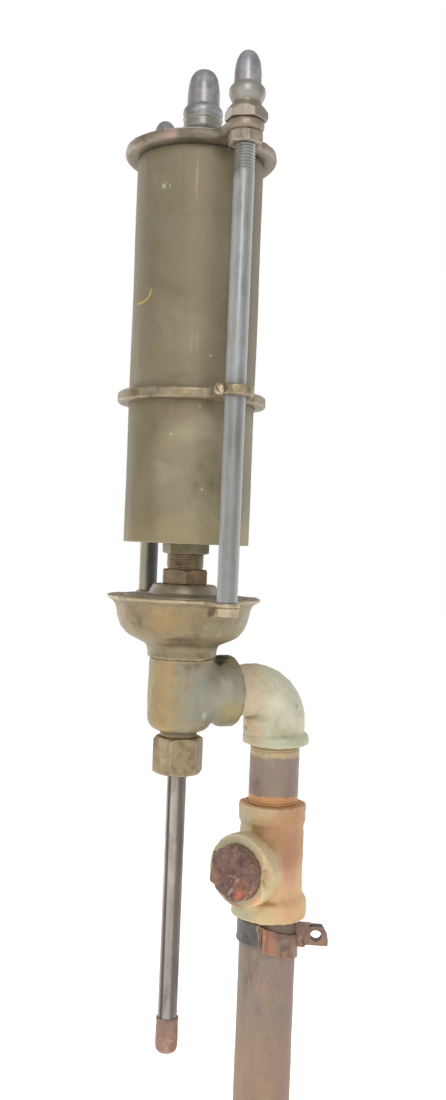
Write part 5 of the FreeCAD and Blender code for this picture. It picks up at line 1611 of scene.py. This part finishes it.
def front_strap(x, y, z):
    r, t, out, across = clamp_frame(x, y)
    slope = (z + 285.3 + 0.3404 * out) * 0.9467     # across the slanting strap
    # its free end is cut at a slant and folded into an upright ridge
    start = 222.0 + np.clip((-274.0 - z) / 19.7, 0, 1) * 8.0
    arc = np.maximum(start - t, t - 329.0) * ARC_PER_DEGREE
    fold = (3.4 * np.exp(-((t - 236.5) / 4.6)**2) - 0.6 * np.exp(-((t - 245.5) / 3.0)**2)
            + 1.9 * np.clip((231.0 - t) / 8.0, 0, 1))
    fold = fold * np.clip((z + 297.5) / 3.0, 0.25, 1)
    # round dimple with a raised ring
    gap = ((t - STRAP_DIMPLE[0]) * 0.46)**2 + (z - STRAP_DIMPLE[1])**2
    dimple = 1.25 * np.exp(-gap / 10.0)
    raised = 0.45 * np.exp(-((np.sqrt(gap) - 5.2) / 1.1)**2)
    middle = 25.4 + fold - dimple * 0.8 + raised
    f = smax(np.abs(r - middle) - 1.1, np.abs(slope) - 9.55, 0.6)
    f = smax(f, arc, 0.5)
    ear = ear_plate(out, across, z, -EAR_OFFSET)
    # gusset folded down where the strap turns out into the ear
    reach = (36.4 - 8.0 * np.clip((-274.6 - z) / 14.0, 0, 1)
             + 3.6 * np.clip((-288.0 - z) / 6.0, 0, 1))
    tab = np.maximum(np.abs(across + 6.1) - 1.1, 23.0 - out)
    tab = smax(tab, out - reach, 0.6)
    tab = smax(tab, np.maximum(z + 273.6, -295.0 - z), 0.8)
    return np.maximum(smin(smin(f, ear, 1.6), tab, 1.0), -(r - STRAP_BORE_R))


make("clamp_front_folded", shift(nets(front_strap, (-22.0, -33.5, -308.5), (53.5, 2.5, -270.0),
                                      0.6, clamp_skin), PIPE), "clamp_front", "clamp_copper")

# ------------------------------------------------------------------ camera
scene = bpy.context.scene
right = Vector((0.90515778, -0.42318221, 0.0400775))
up = Vector((-0.03209455, 0.02597625, 0.99914722))
forward = Vector((0.42386239, 0.90567216, -0.00993076))

lens = bpy.data.cameras.new("camera")
lens.lens = 36.40
lens.sensor_width = 36.0
lens.clip_start, lens.clip_end = 0.05, 50.0
camera = bpy.data.objects.new("camera", lens)
scene.collection.objects.link(camera)
pose = Matrix((right, up, -forward)).transposed().to_4x4()
pose.translation = Vector((-0.44796, -0.83655, 0.528026))
camera.matrix_world = pose
scene.camera = camera
scene.view_settings.view_transform = "Standard"
scene.view_settings.look = "None"


# ------------------------------------------------------------------ lights
def lamp(name, across, high, back, aim_z, wide, tall, power, color=(1, 1, 1), aim_x=-0.06):
    """Soft box in metres and watts, aimed at (aim_x, 0, aim_z).

    It stands `across` to the camera's right of the whistle, `high` above the floor and `back`
    towards the camera.
    """
    data = bpy.data.lights.new(name, "AREA")
    data.shape = "RECTANGLE"
    data.size, data.size_y = wide, tall
    data.energy = power
    data.color = color
    obj = bpy.data.objects.new(name, data)
    scene.collection.objects.link(obj)
    flat = Vector((right.x, right.y, 0)).normalized()
    away = Vector((forward.x, forward.y, 0)).normalized()
    where = Vector((-0.05, 0, 0)) + flat * across - away * back
    where.z = high
    obj.location = where
    obj.rotation_euler = (Vector((aim_x, 0, aim_z)) - where).to_track_quat("-Z", "Y").to_euler()


lamp("key_soft_box", across=-0.02, high=1.30, back=1.35, aim_z=0.62, wide=0.30, tall=1.20,
     power=10.5)
lamp("left_fill", across=-1.20, high=0.75, back=0.95, aim_z=0.42, wide=0.9, tall=1.3, power=3.2)
lamp("back_left_edge", across=-0.95, high=0.70, back=-0.85, aim_z=0.45, wide=0.6, tall=1.4,
     power=4.7)
lamp("back_right_edge", across=1.00, high=0.70, back=-0.80, aim_z=0.45, wide=0.6, tall=1.4,
     power=4.7, color=(0.86, 0.89, 1.0))

# world: clean white to the camera, a soft gradient brighter overhead for everything else
WORLD_LOW, WORLD_HIGH = 0.33, 0.50
world = bpy.data.worlds.new("world")
scene.world = world
world.use_nodes = True
nodes, links = world.node_tree.nodes, world.node_tree.links
nodes.clear()
world_out = nodes.new("ShaderNodeOutputWorld")
mixer = nodes.new("ShaderNodeMixShader")
clean, soft_light = nodes.new("ShaderNodeBackground"), nodes.new("ShaderNodeBackground")
clean.inputs[0].default_value = (1, 1, 1, 1)
clean.inputs[1].default_value = 1.0
soft_light.inputs[0].default_value = (1.0, 0.985, 0.96, 1)
path = nodes.new("ShaderNodeLightPath")
sky = nodes.new("ShaderNodeTexCoord")
split = nodes.new("ShaderNodeSeparateXYZ")
grade = nodes.new("ShaderNodeMapRange")
for socket_name, value in (("From Min", -0.5), ("From Max", 0.9),
                           ("To Min", WORLD_LOW), ("To Max", WORLD_HIGH)):
    grade.inputs[socket_name].default_value = value
links.new(sky.outputs["Generated"], split.inputs[0])
links.new(split.outputs[2], grade.inputs["Value"])
links.new(grade.outputs[0], soft_light.inputs[1])
links.new(path.outputs["Is Camera Ray"], mixer.inputs[0])
links.new(soft_light.outputs[0], mixer.inputs[1])
links.new(clean.outputs[0], mixer.inputs[2])
links.new(mixer.outputs[0], world_out.inputs[0])

# ------------------------------------------------------------------ floor
FLOOR_HALF, FLOOR_GLOW = 6, 0.62
floor_mesh = bpy.data.meshes.new("floor")
floor_mesh.from_pydata([(x * FLOOR_HALF, y * FLOOR_HALF, 0)
                        for x, y in ((-1, -1), (1, -1), (1, 1), (-1, 1))], [], [(0, 1, 2, 3)])
floor = bpy.data.objects.new("floor", floor_mesh)
floor.location.z = -0.0005
scene.collection.objects.link(floor)
paper = bpy.data.materials.new("paper_white")
paper.use_nodes = True
for socket_name, value in (("Base Color", (0.93, 0.93, 0.92, 1)), ("Roughness", 0.9),
                           ("Emission Color", (1, 1, 1, 1)), ("Emission Strength", FLOOR_GLOW)):
    paper.node_tree.nodes["Principled BSDF"].inputs[socket_name].default_value = value
floor_mesh.materials.append(paper)
